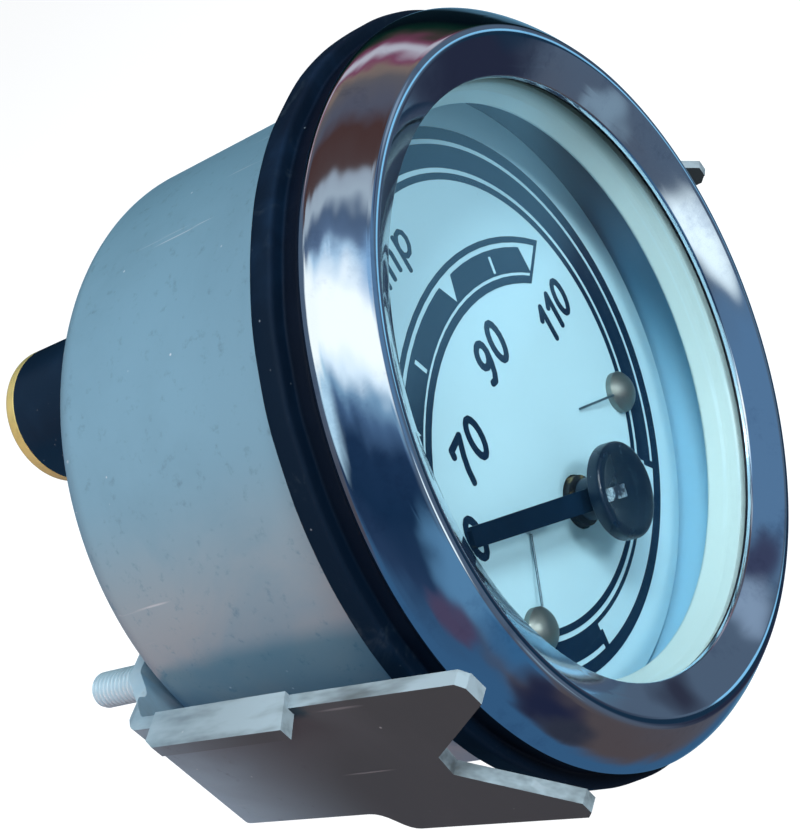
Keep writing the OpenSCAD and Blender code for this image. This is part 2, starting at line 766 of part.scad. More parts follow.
// Bright strip set on the hub's face, from its middle towards the arm
module hub_strip() {
    strip_w = 1;
    strip_t = 0.15;
    strip_r = [0.6, cap_d / 2 - edge_r - 0.1];
    color([0.85, 0.88, 0.9]) pointer_frame() translate([-strip_w / 2, cap_front - strip_t, strip_r[0]])
        cube([strip_w, strip_t, strip_r[1] - strip_r[0]]);
}

// Places what is drawn with the pointer straight up about the pivot at the rest angle
module pointer_frame() {
    translate([0, 0, -pivot_drop]) rotate([0, -rest_angle, 0]) children();
}

// Flat arm with a stop heel on its underside
module pointer_arm() {
    heel_r0 = wire_tip_r - 0.7;
    heel_r1 = wire_tip_r + 0.7;
    heel_w = 1.4;
    tip_edge = 0.25;
    color([0.05, 0.06, 0.08]) pointer_frame() {
        difference() {
            translate([0, arm_front + arm_t, 0]) rotate([90, 0, 0]) linear_extrude(height = arm_t)
                polygon([[-arm_root_w / 2, 0], [arm_root_w / 2, 0], [arm_tip_w / 2, arm_length - tip_edge],
                    [arm_tip_w / 2 - tip_edge, arm_length], [-arm_tip_w / 2 + tip_edge, arm_length],
                    [-arm_tip_w / 2, arm_length - tip_edge]]);
            rod(spindle_d / 2, arm_front - eps, arm_front + arm_t + eps);
        }
        translate([-heel_w / 2, arm_front + arm_t, heel_r0])
            cube([heel_w, dial_y - slip - arm_front - arm_t, heel_r1 - heel_r0]);
    }
}

// Double-ended mounting stud: a thread in the can, a plain waist, and a thread with a rounded end
module stud(side) {
    waist_r = stud_r - waist_depth;
    thread_end = stud_end - stud_tip;
    color([0.75, 0.77, 0.8]) translate([side * stud_x, 0, side * stud_z]) turned([[0, plate_front],
        [stud_r, plate_front], [stud_r, waist_y[0]], [waist_r, waist_y[0]], [waist_r, waist_y[1]],
        [stud_r, waist_y[1]], [stud_r, thread_end], [stud_r * 0.86, thread_end + stud_tip * 0.55],
        [stud_r * 0.5, stud_end], [0, stud_end]]);
}

module stud_left() {
    stud(-1);
}

module stud_right() {
    stud(1);
}

module stud_spacers() {
    color([0.75, 0.68, 0.45]) for (side = [-1, 1])
        tube(stud_r + 1, stud_r + slip / 2, plate_rear, case_floor, side * stud_x, side * stud_z);
}

// Thin nuts that hold the movement in the can
module case_nuts() {
    color([0.72, 0.74, 0.77]) for (side = [-1, 1]) on_axis(case_depth, side * stud_x, side * stud_z) difference() {
        cylinder(d = case_nut_af / cos(30), h = case_nut_t, $fn = 6);
        translate([0, 0, -eps]) cylinder(r = stud_r, h = case_nut_t + 2 * eps);
    }
}

// Moulded block that carries the two blades through the can's floor
terminal_drop = 4.9;
terminal_z = -pivot_drop - terminal_drop;
insulator_neck_w = 17;
insulator_neck_h = 4;
insulator_rim = 1.2;
insulator_t = 1;
insulator_in = 0.8;
blade_w = 6.3;
blade_t = 0.8;
blade_x = 4.4;
blade_out = 9;
module terminal_insulator() {
    w = insulator_neck_w;
    h = insulator_neck_h;
    color([0.12, 0.1, 0.09]) difference() {
        union() {
            translate([-w / 2, case_floor - insulator_in, terminal_z - h / 2])
                cube([w, case_wall + insulator_in, h]);
            translate([-w / 2 - insulator_rim, case_depth, terminal_z - h / 2 - insulator_rim])
                cube([w + 2 * insulator_rim, insulator_t, h + 2 * insulator_rim]);
        }
        for (side = [-1, 1])
            translate([side * blade_x - blade_w / 2, case_floor - insulator_in - eps, terminal_z - blade_t / 2])
                cube([blade_w, insulator_in + case_wall + insulator_t + 2 * eps, blade_t]);
    }
}

// Push-on blades for the sender and the supply
module terminal_blades() {
    tip = 1.2;
    y0 = case_floor - insulator_in;
    y1 = case_depth + insulator_t + blade_out;
    color([0.8, 0.68, 0.4]) for (side = [-1, 1]) difference() {
        translate([side * blade_x, 0, terminal_z - blade_t / 2]) linear_extrude(height = blade_t)
            polygon([[-blade_w / 2, y0], [blade_w / 2, y0], [blade_w / 2, y1 - tip], [blade_w / 2 - tip, y1],
                [-blade_w / 2 + tip, y1], [-blade_w / 2, y1 - tip]]);
        translate([side * blade_x, y1 - 3.2, terminal_z - blade_t]) cylinder(r = 0.8, h = 2 * blade_t);
    }
}

// Clamp bracket: a formed strip whose plan is a wide U with bevelled corners
bend_r = 1.8;
corner_slope = 0.87;
corner_y = bar_rear - 6.2;
leg_rear_x = seal_r + leg_room;
corner_x = leg_rear_x - (bar_rear - corner_y) / corner_slope;
leg_tip_x = leg_rear_x + leg_flare * (corner_y + leg_reach);
plan = [[-leg_tip_x, -leg_reach], [-leg_rear_x, corner_y], [-corner_x, bar_rear],
    [corner_x, bar_rear], [leg_rear_x, corner_y], [leg_tip_x, -leg_reach]];

// Half the angle between the two runs that meet at point i, and the direction into the bend
function half_angle(p, i) = acos(unit(p[i - 1] - p[i]) * unit(p[i + 1] - p[i])) / 2;
function into_bend(p, i) = unit(unit(p[i - 1] - p[i]) + unit(p[i + 1] - p[i]));

// Points of the rounded bend at point i, at radius r about the bend's centre
function bend_points(p, i, r, n = 6) =
    let (
        h = half_angle(p, i),
        c = p[i] + into_bend(p, i) * bend_r / sin(h),
        mid = -into_bend(p, i),
        a = atan2(mid[1], mid[0])
    )
    [for (k = [0:n]) let (t = a + (90 - h) * (1 - 2 * k / n)) c + r * [cos(t), sin(t)]];

// Sheet's inner points at the two free ends
function end_shift(a, b) = let (u = unit(b - a)) bracket_t * [u[1], -u[0]];

function reversed(v) = [for (i = [len(v) - 1:-1:0]) v[i]];

module bracket_plan() {
    ends_in = end_shift(plan[0], plan[1]);
    polygon(concat(
        [plan[0]],
        [for (i = [1:4]) each bend_points(plan, i, bend_r)],
        [plan[5]],
        [plan[5] + [-ends_in[0], ends_in[1]]],
        [for (i = [4:-1:1]) each reversed(bend_points(plan, i, bend_r - bracket_t))],
        [plan[0] + ends_in]));
}

// Outer face of a leg at y, as a distance from the bracket's middle
function leg_x(y) = leg_rear_x + leg_flare * (corner_y - y);

// Cuts a side outline, drawn in y and z, through the bracket from x0 to x1
module side_cut(x0, x1, points) {
    translate([x0, 0, 0]) rotate([90, 0, 90]) linear_extrude(height = x1 - x0) polygon(points);
}

module bracket_blank() {
    w = prong_half_w;
    far = leg_tip_x + 2;
    rear_low = 4.95;
    flange_lift = 0.4;
    flange_y = [corner_y - 14.85, corner_y - 3.65];
    relief_y = corner_y - 15.05;
    flange_lead = 0.8;
    flange_end = 1.2;
    notch_y = notch_depth - leg_reach;
    prong_w = [2, 1.5];
    edge = 0.5;
    difference() {
        union() {
            translate([0, 0, -w]) linear_extrude(height = 2 * w) bracket_plan();
            for (side = [-1, 1]) translate([0, 0, w + flange_lift - bracket_t]) linear_extrude(height = bracket_t)
                polygon([for (p = [[leg_x(flange_y[0]) - bracket_t, flange_y[0]],
                    [leg_x(flange_y[0]) + leg_flange, flange_y[0] - flange_lead],
                    [leg_x(flange_y[1]) + leg_flange, flange_y[1]],
                    [leg_x(flange_y[1]) + leg_flange - 0.7, flange_y[1] + flange_end * 0.8],
                    [leg_x(flange_y[1]) - bracket_t, flange_y[1] + flange_end]]) [side * p[0], p[1]]]);
        }
        // Notch between the prongs
        side_cut(-far, far, [[notch_y, 0.5], [-leg_reach - eps, w - prong_w[0] + 0.3],
            [-leg_reach - eps, -w + prong_w[1] - 0.3], [notch_y + 0.25, -1.4]]);
        // Eased outer corners of the prongs
        for (s = [-1, 1]) side_cut(-far, far, [[-leg_reach - eps, s * (w - edge)], [-leg_reach, s * (w - edge)],
            [-leg_reach + edge, s * w], [-leg_reach + edge, s * (w + 1)], [-leg_reach - eps, s * (w + 1)]]);
        side_cut(10, far, [[-leg_reach - eps, 0], [-leg_reach + short_prong, 0],
            [-leg_reach + short_prong, w + 1], [-leg_reach - eps, w + 1]]);
        // Relief of the lower edge behind the prongs
        side_cut(-far, far, concat([[relief_y, -w - 1], [relief_y, -w]],
            bend([relief_y, -w], [relief_y + 0.8, -w], [relief_y + 1.4, -(w + rear_low) / 2], 4),
            bend([relief_y + 1.4, -(w + rear_low) / 2], [relief_y + 2, -rear_low], [relief_y + 3, -rear_low], 4),
            [[bar_rear + 2, -rear_low], [bar_rear + 2, -w - 1]]));
        // Narrower crossbar
        side_cut(-far, far, concat([[corner_y - 0.4, w + 1], [corner_y - 0.4, w]],
            bend([corner_y - 0.4, w], [corner_y + 1.4, w], [corner_y + 2, (w + bar_half_w) / 2], 4),
            bend([corner_y + 2, (w + bar_half_w) / 2], [corner_y + 2.6, bar_half_w], [corner_y + 3.6, bar_half_w], 4),
            [[bar_rear + 2, bar_half_w], [bar_rear + 2, w + 1]]));
    }
}

module clamp_bracket() {
    color([0.66, 0.7, 0.72]) difference() {
        translate([0, 0, -bracket_drop]) rotate([0, 0, bracket_yaw]) rotate([0, -bracket_roll, 0]) bracket_blank();
        for (side = [-1, 1]) rod(stud_r + stud_gap, case_depth, stud_end, side * stud_x, side * stud_z);
    }
}

module clamp_washer() {
    color([0.72, 0.74, 0.77]) tube(washer_r, stud_r + stud_gap / 2, washer_front, washer_rear, stud_x, stud_z);
}

// Knurled clamp nut on the right stud
module clamp_nut() {
    grooves = 24;
    r = clamp_nut_d / 2;
    color([0.78, 0.66, 0.4]) on_axis(nut_front, stud_x, stud_z) difference() {
        cylinder(r = r, h = clamp_nut_t);
        translate([0, 0, -eps]) cylinder(r = stud_r + running_gap, h = clamp_nut_t + 2 * eps);
        for (i = [0:grooves - 1]) rotate([0, 0, i * 360 / grooves]) translate([r + 0.15, 0, -eps])
            rotate([0, 0, 45]) cylinder(r = 0.45, h = clamp_nut_t + 2 * eps, $fn = 4);
    }
}

// Push-in lamp holder: a moulded body with a socket for the bulb
contact_r = 1.2;
module lamp_holder() {
    body_rear = lamp_end - lamp_ring_t;
    color([0.04, 0.05, 0.07]) difference() {
        rod(lamp_r, lamp_front, body_rear, 0, lamp_rise);
        rod(bulb_base_r + slip / 2, lamp_front - eps, lamp_front + bulb_base_l, 0, lamp_rise);
        rod(contact_r, lamp_front + bulb_base_l - eps, body_rear + eps, 0, lamp_rise);
    }
}

// Rounded brass ring on the holder's rear end
module lamp_ring() {
    y0 = lamp_end - lamp_ring_t;
    wall = 1.6;
    edge = lamp_ring_t / 2;
    color([0.75, 0.65, 0.35]) translate([0, 0, lamp_rise]) turned(concat(
        [[lamp_r - wall, y0], [lamp_r, y0]],
        arc([lamp_r - edge, lamp_end - edge], edge, 0, 90, 6),
        [[lamp_r - wall, lamp_end]]));
}

module lamp_contact() {
    color([0.75, 0.65, 0.35]) rod(contact_r, lamp_front + bulb_base_l, lamp_end - lamp_ring_t + 0.8, 0, lamp_rise);
}

module bulb_base() {
    color([0.78, 0.7, 0.42]) rod(bulb_base_r, lamp_front - bulb_base_out, lamp_front + bulb_base_l, 0, lamp_rise);
}

// Small round bulb with a short neck
module bulb_glass() {
    neck_r = 3.4;
    neck_y = lamp_front - bulb_base_out;
    centre_y = neck_y - bulb_neck_l;
    color([0.9, 0.93, 0.95, 0.5]) union() {
        difference() {
            translate([0, centre_y, lamp_rise]) sphere(r = bulb_r);
            rod(bulb_r, neck_y, neck_y + eps, 0, lamp_rise);
        }
        rod(neck_r, centre_y, neck_y, 0, lamp_rise);
    }
}

case();
bezel();
panel_seal();
lens_gasket();
lens();
reflector_ring();
dial_plate();
dial_print();
dial_figures();
dial_screws();
stop_wires();
dial_posts();
movement_plate();
plate_screws();
front_bush();
bobbin_front();
bobbin_rear();
upright_coil();
level_coil();
shield_can();
rear_bearing();
rotor_magnet();
pointer_spindle();
pointer_hub();
hub_strip();
pointer_arm();
stud_left();
stud_right();
stud_spacers();
case_nuts();
terminal_insulator();
terminal_blades();
clamp_bracket();
clamp_washer();
clamp_nut();
lamp_holder();
lamp_ring();
lamp_contact();
bulb_base();
bulb_glass();
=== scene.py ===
"""Looks of a round panel temperature gauge with its lamp holder and clamp bracket.

Sizes are in millimetres as in the part's source, and become metres through MM.
The dial faces -Y, its top is +Z, and the origin is where the rubber seal meets the panel.
"""
import math
import random

import bmesh
import bpy
from mathutils import Matrix, Vector

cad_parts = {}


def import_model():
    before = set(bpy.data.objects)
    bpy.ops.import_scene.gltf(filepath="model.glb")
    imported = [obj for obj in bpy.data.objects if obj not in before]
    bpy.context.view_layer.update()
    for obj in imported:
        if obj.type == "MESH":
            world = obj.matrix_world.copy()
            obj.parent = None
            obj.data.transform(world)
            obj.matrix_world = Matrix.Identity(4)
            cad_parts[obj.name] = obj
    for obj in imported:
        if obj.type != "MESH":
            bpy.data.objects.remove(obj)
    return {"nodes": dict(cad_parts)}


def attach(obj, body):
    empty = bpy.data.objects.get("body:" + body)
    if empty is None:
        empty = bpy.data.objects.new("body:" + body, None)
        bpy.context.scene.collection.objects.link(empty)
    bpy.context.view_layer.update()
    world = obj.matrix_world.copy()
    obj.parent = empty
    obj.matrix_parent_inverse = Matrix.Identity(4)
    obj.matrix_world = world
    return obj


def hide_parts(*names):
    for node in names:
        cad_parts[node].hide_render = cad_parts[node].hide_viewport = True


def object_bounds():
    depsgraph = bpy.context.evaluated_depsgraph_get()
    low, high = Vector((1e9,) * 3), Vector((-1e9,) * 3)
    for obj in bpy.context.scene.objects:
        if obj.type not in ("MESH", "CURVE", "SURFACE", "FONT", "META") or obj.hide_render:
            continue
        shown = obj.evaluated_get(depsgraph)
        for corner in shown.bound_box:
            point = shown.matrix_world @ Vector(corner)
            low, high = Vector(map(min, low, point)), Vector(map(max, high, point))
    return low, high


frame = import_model()
cad_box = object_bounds()
nodes = frame["nodes"]
MM = 0.001

# Camera, fitted to the photograph's view
CAMERA_AT = Vector((-80.15, -60.276, 50.037))
VIEW_RIGHT = Vector((0.33331, -0.75129, -0.56962))
VIEW_UP = Vector((0.65682, -0.2484, 0.71196))
VIEW_BACK = Vector((-0.67638, -0.61144, 0.41067))
SENSOR = 36
LENS = 64.59

# Bezel and glass: radii, and places along Y, which grow towards the rear
BEZEL_R = 28.35
BEZEL_LIP_R = 26.4
BEZEL_WALL = 0.6
CREST = (25.3, -6.25)
CREST_R = 0.9
CREST_ARC = (-60, -118)
WINDOW_R = 22.4
GASKET_FRONT = -5.15
GLASS_REAR = -3.1

# Rubber seal, whose step meets the bezel at SEAL_FACE
SEAL_FACE = -3.2
SEAL_R = 29.1
SEAL_STEP_R = 28
SEAL_BORE_R = 26.05
SEAL_FLANGE_T = 1.9
SEAL_WAVE_OUT = 0.15
SEAL_WAVE_ALONG = 0.07

# Can, with the slot for its terminals
CASE_R = 26
CASE_WALL = 0.8
CASE_IN_R = CASE_R - CASE_WALL
CASE_END = 24.6
CASE_CORNER = 3
FLANGE_R = 27.1
FLANGE_Y = (-4.6, -3.8)
HOLE_PLAY = 0.1
CUT_DEPTH = 3
TERMINAL_SLOT = (17.2, 4.2)
TERMINAL_Z = -16

# Reflector ring and pointer hub
REFLECTOR_R = 21.7
REFLECTOR_RIM_R = 25.1
REFLECTOR_T = 0.6
REFLECTOR_REAR = -0.6
DIAL_Y = 3.9
PIVOT_Z = -11.1
CAP_R = 3.85
CAP_T = 1.2
CAP_FRONT = DIAL_Y - 4.5
HUB_STEM_R = 1.7
HUB_REAR = DIAL_Y - 0.75
SPINDLE_R = 0.5

# Studs, with a plain shank, a narrower waist and an M3 thread
STUD_R = 1.5
STUD_AT = (19, 3.2)
STUD_FRONT = 9
STUD_END = 40
STUD_TIP = 0.6
WAIST_R = 1.3
WAIST_Y = (26.3, 28.6)
WAIST_EDGE = 0.05
THREAD_PITCH = 0.5
THREAD_DEPTH = 0.29
THREAD_HALF_WIDTH = 0.36

# Lamp holder
LAMP_R = 6.05
LAMP_Z = 12.6
LAMP_FRONT = 20
LAMP_END = 43.7
LAMP_RING_T = 1.4
LAMP_RING_W = 1.6
LAMP_SOCKET_R = 4.5
LAMP_SOCKET_DEPTH = 8
LAMP_CONTACT_R = 1.2


def camera():
    data = bpy.data.cameras.new("camera")
    cam = bpy.data.objects.new("camera", data)
    bpy.context.collection.objects.link(cam)
    data.sensor_width = SENSOR
    data.lens = LENS
    data.clip_start = 0.005
    data.clip_end = 20
    axes = Matrix((VIEW_RIGHT, VIEW_UP, VIEW_BACK)).transposed().to_4x4()
    cam.matrix_world = Matrix.Translation(CAMERA_AT * MM) @ axes
    bpy.context.scene.camera = cam


# Mesh helpers

def make_object(name, shape, body, materials, sharp=None):
    """A finished mesh as an object that rides on a body; edges over sharp degrees stay sharp."""
    mesh = bpy.data.meshes.new(name)
    bmesh.ops.recalc_face_normals(shape, faces=shape.faces)
    shape.to_mesh(mesh)
    shape.free()
    mesh.shade_smooth()
    if sharp:
        mesh.set_sharp_from_angle(angle=math.radians(sharp))
    for material in materials:
        mesh.materials.append(material)
    piece = bpy.data.objects.new(name, mesh)
    bpy.context.collection.objects.link(piece)
    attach(piece, body)
    return piece


def on_circle(angle, radius, x, y, z):
    """A place on a circle about an axis along Y through x and z, in metres."""
    return ((x + radius * math.cos(angle)) * MM, y * MM, (z + radius * math.sin(angle)) * MM)


def join_rings(shape, ring, after):
    """Makes the faces between two rings of corners; a ring may be one corner, repeated."""
    for index in range(len(ring)):
        following = (index + 1) % len(ring)
        corners = []
        for corner in (ring[index], ring[following], after[following], after[index]):
            if corner not in corners:
                corners.append(corner)
        if len(corners) > 2:
            shape.faces.new(corners)


def lathe(profile, turns, z=0, wobble=None):
    """The shape of a closed profile of (radius, y) points, turned about an axis along Y at height z."""
    shape = bmesh.new()
    rings = []
    for radius, y in profile:
        if radius == 0:
            rings.append([shape.verts.new((0, y * MM, z * MM))] * turns)
            continue
        ring = []
        for index in range(turns):
            angle = 2 * math.pi * index / turns
            out, along = wobble(angle, radius, y) if wobble else (0, 0)
            ring.append(shape.verts.new(on_circle(angle, radius + out, 0, y + along, z)))
        rings.append(ring)
    for ring, after in zip(rings, rings[1:] + rings[:1]):
        join_rings(shape, ring, after)
    return shape


def bend(start, pull, end, steps):
    """Points of a curve from start to end that is drawn towards pull."""
    points = []
    for k in range(steps + 1):
        t = k / steps
        points.append(tuple(start[i] * (1 - t) ** 2 + pull[i] * 2 * t * (1 - t) + end[i] * t * t
                            for i in (0, 1)))
    return points


def rounded(points, steps=5):
    """A profile whose corners (x, y, radius) are rounded."""
    path = []
    for i, (x, y, radius) in enumerate(points):
        here = Vector((x, y))
        if radius <= 0:
            path.append((x, y))
            continue
        before = Vector(points[i - 1][:2]) - here
        after = Vector(points[(i + 1) % len(points)][:2]) - here
        back, ahead = before.normalized(), after.normalized()
        longest = min(before.length * 0.49, after.length * 0.49)
        reach = min(radius / math.tan(back.angle(ahead) / 2), longest)
        path += bend(here + back * reach, here, here + ahead * reach, steps)
    return path


def arc(centre, radius, first, last, steps):
    """Points of an arc from the first angle to the last, in degrees."""
    points = []
    for k in range(steps + 1):
        angle = math.radians(first + (last - first) * k / steps)
        points.append((centre[0] + radius * math.cos(angle), centre[1] + radius * math.sin(angle)))
    return points


# Node trees

class Graph:
    """A node tree, built up by calls that take and give back sockets."""

    def __init__(self, tree, coordinates=None):
        self.tree = tree
        if coordinates:
            self.where = self.node("ShaderNodeTexCoord").outputs[coordinates]

    def node(self, kind, **settings):
        made = self.tree.nodes.new(kind)
        for key, value in settings.items():
            setattr(made, key, value)
        return made

    def feed(self, socket, value):
        """Links an input to a socket, or gives it a number or a colour."""
        if isinstance(value, bpy.types.NodeSocket):
            self.tree.links.new(value, socket)
        elif isinstance(value, (int, float)):
            socket.default_value = value
        else:
            socket.default_value = (*tuple(value)[:3], 1)

    def fill(self, made, values):
        """Feeds the inputs of a node by their names."""
        for key, value in values.items():
            self.feed(made.inputs[key], value)

    def math(self, operation, a, b=0.0):
        made = self.node("ShaderNodeMath", operation=operation)
        self.feed(made.inputs[0], a)
        self.feed(made.inputs[1], b)
        return made.outputs[0]

    def step(self, value, lo, hi, to_lo=0.0, to_hi=1.0):
        """Goes smoothly from to_lo to to_hi as the value goes from lo to hi."""
        made = self.node("ShaderNodeMapRange", interpolation_type="SMOOTHSTEP")
        self.fill(made, {"Value": value, "From Min": lo, "From Max": hi, "To Min": to_lo, "To Max": to_hi})
        return made.outputs["Result"]

    def mix(self, factor, a, b):
        """Colour a where the factor is 0, and b where it is 1."""
        made = self.node("ShaderNodeMix", data_type="RGBA")
        for index, value in ((0, factor), (6, a), (7, b)):
            self.feed(made.inputs[index], value)
        return made.outputs[2]

    def noise(self, scale, detail=3.0, rough=0.5, warp=0.0, where=None, output="Fac"):
        made = self.node("ShaderNodeTexNoise")
        self.fill(made, {"Vector": where or self.where, "Scale": scale, "Detail": detail,
                         "Roughness": rough, "Distortion": warp})
        return made.outputs[output]


class Shader(Graph):
    """A material with a Principled surface, built up by layers in the object's own coordinates."""

    def __init__(self, name, colour, metallic=0.0, roughness=0.5, **values):
        self.material = bpy.data.materials.new(name)
        self.material.use_nodes = True
        super().__init__(self.material.node_tree, "Object")
        self.surface = self.tree.nodes["Principled BSDF"]
        self.fill(self.surface, {"Base Color": colour, "Metallic": metallic, "Roughness": roughness})
        self.fill(self.surface, {key.replace("_", " "): value for key, value in values.items()})
        self.height = None

    def stretched(self, scale, turn=(0, 0, 0)):
        """The object's coordinates, turned by degrees and scaled."""
        mapping = self.node("ShaderNodeMapping")
        mapping.inputs["Scale"].default_value = scale
        mapping.inputs["Rotation"].default_value = [math.radians(t) for t in turn]
        self.feed(mapping.inputs["Vector"], self.where)
        return mapping.outputs["Vector"]

    def along(self, axis, lo, hi, to_lo=0.0, to_hi=1.0):
        """A smooth step along the object's X, Y or Z, between two places in millimetres."""
        place = self.node("ShaderNodeSeparateXYZ")
        self.feed(place.inputs[0], self.where)
        return self.step(place.outputs[axis], lo * MM, hi * MM, to_lo, to_hi)

    def tint(self, factor, colour):
        """Lays a colour over the base colour where factor says."""
        base = self.surface.inputs["Base Color"]
        below = base.links[0].from_socket if base.is_linked else base.default_value
        self.feed(base, self.mix(factor, below, colour))

    def vary_roughness(self, factor, lo, hi):
        made = self.node("ShaderNodeMapRange")
        self.fill(made, {"Value": factor, "To Min": lo, "To Max": hi})
        self.feed(self.surface.inputs["Roughness"], made.outputs["Result"])

    def bump(self, factor, depth):
        """Raises the surface by depth, in millimetres, where factor is 1."""
        made = self.node("ShaderNodeBump")
        self.fill(made, {"Strength": 1.0, "Distance": depth * MM, "Height": factor})
        if self.height is not None:
            self.feed(made.inputs["Normal"], self.height)
        self.height = made.outputs["Normal"]
        self.feed(self.surface.inputs["Normal"], self.height)

    def specks(self, size, share, colour, strength):
        """Scattered specks of dust, size in millimetres, on a share of the cells of a grid."""
        cell_width = 6 * size * MM
        cells = self.node("ShaderNodeTexVoronoi")
        self.fill(cells, {"Vector": self.where, "Scale": 1 / cell_width})
        near = self.step(cells.outputs["Distance"], 0.05, 0.14, 1.0, 0.0)
        pick = self.node("ShaderNodeSeparateColor")
        self.feed(pick.inputs[0], cells.outputs["Color"])
        chosen = self.step(pick.outputs[0], 1 - share, 1 - share + 0.02)
        self.tint(self.math("MULTIPLY", self.math("MULTIPLY", near, chosen), strength), colour)

    def scratches(self, scale, turn, depth, share, colour=None, amount=0.3):
        """Fine straight scratches that run the way in which the scale is least."""
        lines = self.noise(1.0, 2.0, 0.6, where=self.stretched(scale, turn))
        line = self.step(lines, share, share + 0.06)
        self.bump(line, -depth)
        if colour:
            self.tint(self.math("MULTIPLY", line, amount), colour)


def shaded(colour, amount):
    return tuple(c * amount for c in colour)


# Materials

def chrome():
    look = Shader("chrome", (0.80, 0.86, 0.93), 1.0, 0.05)
    look.vary_roughness(look.noise(55, 4, 0.6), 0.03, 0.11)
    look.tint(look.step(look.noise(190, 5, 0.7), 0.52, 0.76), (0.56, 0.62, 0.72))
    look.bump(look.noise(160, 2), 0.012)
    look.scratches((90, 900, 90), (0, 0, 0), 0.003, 0.66)
    look.specks(0.12, 0.05, (0.75, 0.85, 0.95), 0.5)
    return look.material


def case_zinc():
    """Satin zinc plate, mottled and scratched, with a painted reflection that turns it greyer towards its
    underside.
    """
    colour = (0.20, 0.385, 0.51)
    look = Shader("case_zinc", colour, 0.45, 0.42)
    blotch = look.noise(70, 5, 0.6, warp=0.4)
    look.vary_roughness(blotch, 0.35, 0.52)
    # Painted reflection: the room's warm grey laid over the can below Z 5, fading out by Z 16.
    look.tint(look.along("Z", 5, 16, 1.0, 0.0), (0.31, 0.40, 0.45))
    look.tint(look.step(blotch, 0.42, 0.68, 0.0, 0.6), shaded(colour, 0.88))
    look.tint(look.step(look.noise(900, 3, 0.7), 0.56, 0.80), shaded(colour, 0.72))
    look.bump(look.noise(1400, 3, 0.6), 0.006)
    look.scratches((1500, 60, 1500), (20, 0, 35), 0.004, 0.70, (0.85, 0.9, 0.95), 0.35)
    look.scratches((700, 30, 700), (70, 15, 0), 0.005, 0.74, (0.80, 0.86, 0.92), 0.3)
    look.specks(0.16, 0.05, (0.88, 0.93, 0.97), 0.6)
    return look.material


def bracket_zinc():
    """Zinc sheet, paler towards its rear bar, darker towards the prongs, bright on its edges."""
    look = Shader("bracket_zinc", (0.36, 0.57, 0.72), 0.35, 0.44)
    blotch = look.noise(60, 5, 0.6, warp=0.6)
    look.vary_roughness(blotch, 0.36, 0.56)
    look.tint(look.along("Y", 6, 30, 1.0, 0.0), (0.062, 0.070, 0.070))
    look.tint(look.step(blotch, 0.42, 0.70, 0.0, 0.4), (0.10, 0.115, 0.13))
    look.tint(look.step(look.noise(700, 3, 0.7), 0.62, 0.85, 0.0, 0.6), (0.06, 0.06, 0.065))
    look.bump(look.noise(1100, 3, 0.6), 0.004)
    look.scratches((900, 40, 900), (0, 0, 8), 0.003, 0.66, (0.40, 0.44, 0.48), 0.35)
    normal = look.node("ShaderNodeSeparateXYZ")
    look.feed(normal.inputs[0], look.node("ShaderNodeNewGeometry").outputs["Normal"])
    edge = look.step(look.math("ABSOLUTE", normal.outputs["X"]), 0.35, 0.75, 1.0, 0.0)
    wear = look.step(look.noise(320, 4, 0.6, where=look.stretched((1, 0.3, 1))), 0.34, 0.62, 0.15, 0.8)
    bright = look.math("MULTIPLY", look.math("MULTIPLY", edge, wear), look.along("Y", 4, 14, 1.0, 0.75))
    look.tint(bright, (0.50, 0.64, 0.72))
    look.specks(0.14, 0.05, (0.50, 0.56, 0.60), 0.5)
    return look.material


def rubber():
    """Black rubber with dusty patches, and painted shade that blackens its narrow step beside the bezel.
    """
    look = Shader("rubber", (0.001, 0.006, 0.016), 0.0, 0.55, Specular_IOR_Level=0.25)
    look.vary_roughness(look.noise(300, 4), 0.42, 0.72)
    look.tint(look.step(look.noise(120, 4, 0.6), 0.48, 0.75), (0.003, 0.014, 0.036))
    look.tint(look.step(look.noise(260, 5, 0.75, warp=0.6), 0.56, 0.74, 0.0, 0.7), (0.020, 0.034, 0.050))
    # Painted shade: blackens the narrow step beside the bezel, where the bezel's rim shades it.
    look.tint(look.along("Y", -2.2, -1.7, 0.85, 0.0), (0.0005, 0.002, 0.007))
    look.bump(look.noise(240, 4, 0.6), 0.07)
    look.bump(look.noise(900, 4, 0.6), 0.03)
    look.specks(0.22, 0.05, (0.34, 0.44, 0.50), 0.6)
    look.specks(0.13, 0.12, (0.20, 0.26, 0.32), 0.5)
    return look.material


def black_moulding(name, roughness, sheen=0.5):
    look = Shader(name, (0.002, 0.010, 0.025), 0.0, roughness, Specular_IOR_Level=sheen)
    look.vary_roughness(look.noise(200, 4), roughness - 0.06, roughness + 0.12)
    look.tint(look.step(look.noise(90, 4, 0.6), 0.5, 0.8), (0.004, 0.017, 0.040))
    look.bump(look.noise(1300, 3), 0.004)
    look.specks(0.10, 0.08, (0.25, 0.30, 0.36), 0.4)
    return look.material


def brass(name, colour, roughness, metallic=1.0):
    look = Shader(name, colour, metallic, roughness)
    tone = look.noise(250, 4, 0.6)
    look.vary_roughness(tone, roughness - 0.06, roughness + 0.14)
    look.tint(look.step(tone, 0.45, 0.72), shaded(colour, 0.72))
    look.bump(look.noise(1500, 3), 0.003)
    return look.material


def steel(name, colour, roughness, metallic=1.0):
    look = Shader(name, colour, metallic, roughness)
    tone = look.noise(300, 4, 0.6)
    look.vary_roughness(tone, roughness - 0.06, roughness + 0.12)
    look.tint(look.step(tone, 0.48, 0.75), shaded(colour, 0.78))
    look.bump(look.noise(1600, 3), 0.003)
    return look.material


def wall():
    """Inside of the can: blue-white paint, with painted shade that darkens it towards the top."""
    look = Shader("wall_steel", (0.34, 0.68, 0.88), 0.2, 0.36)
    look.vary_roughness(look.noise(300, 4, 0.6), 0.30, 0.46)
    # Painted shade: the wall darkens upwards in two steps, where the top of the can keeps the light off.
    look.tint(look.along("Z", -20, -6), (0.10, 0.28, 0.43))
    look.tint(look.along("Z", -6, 5), (0.018, 0.048, 0.080))
    look.bump(look.noise(1600, 3), 0.003)
    return look.material


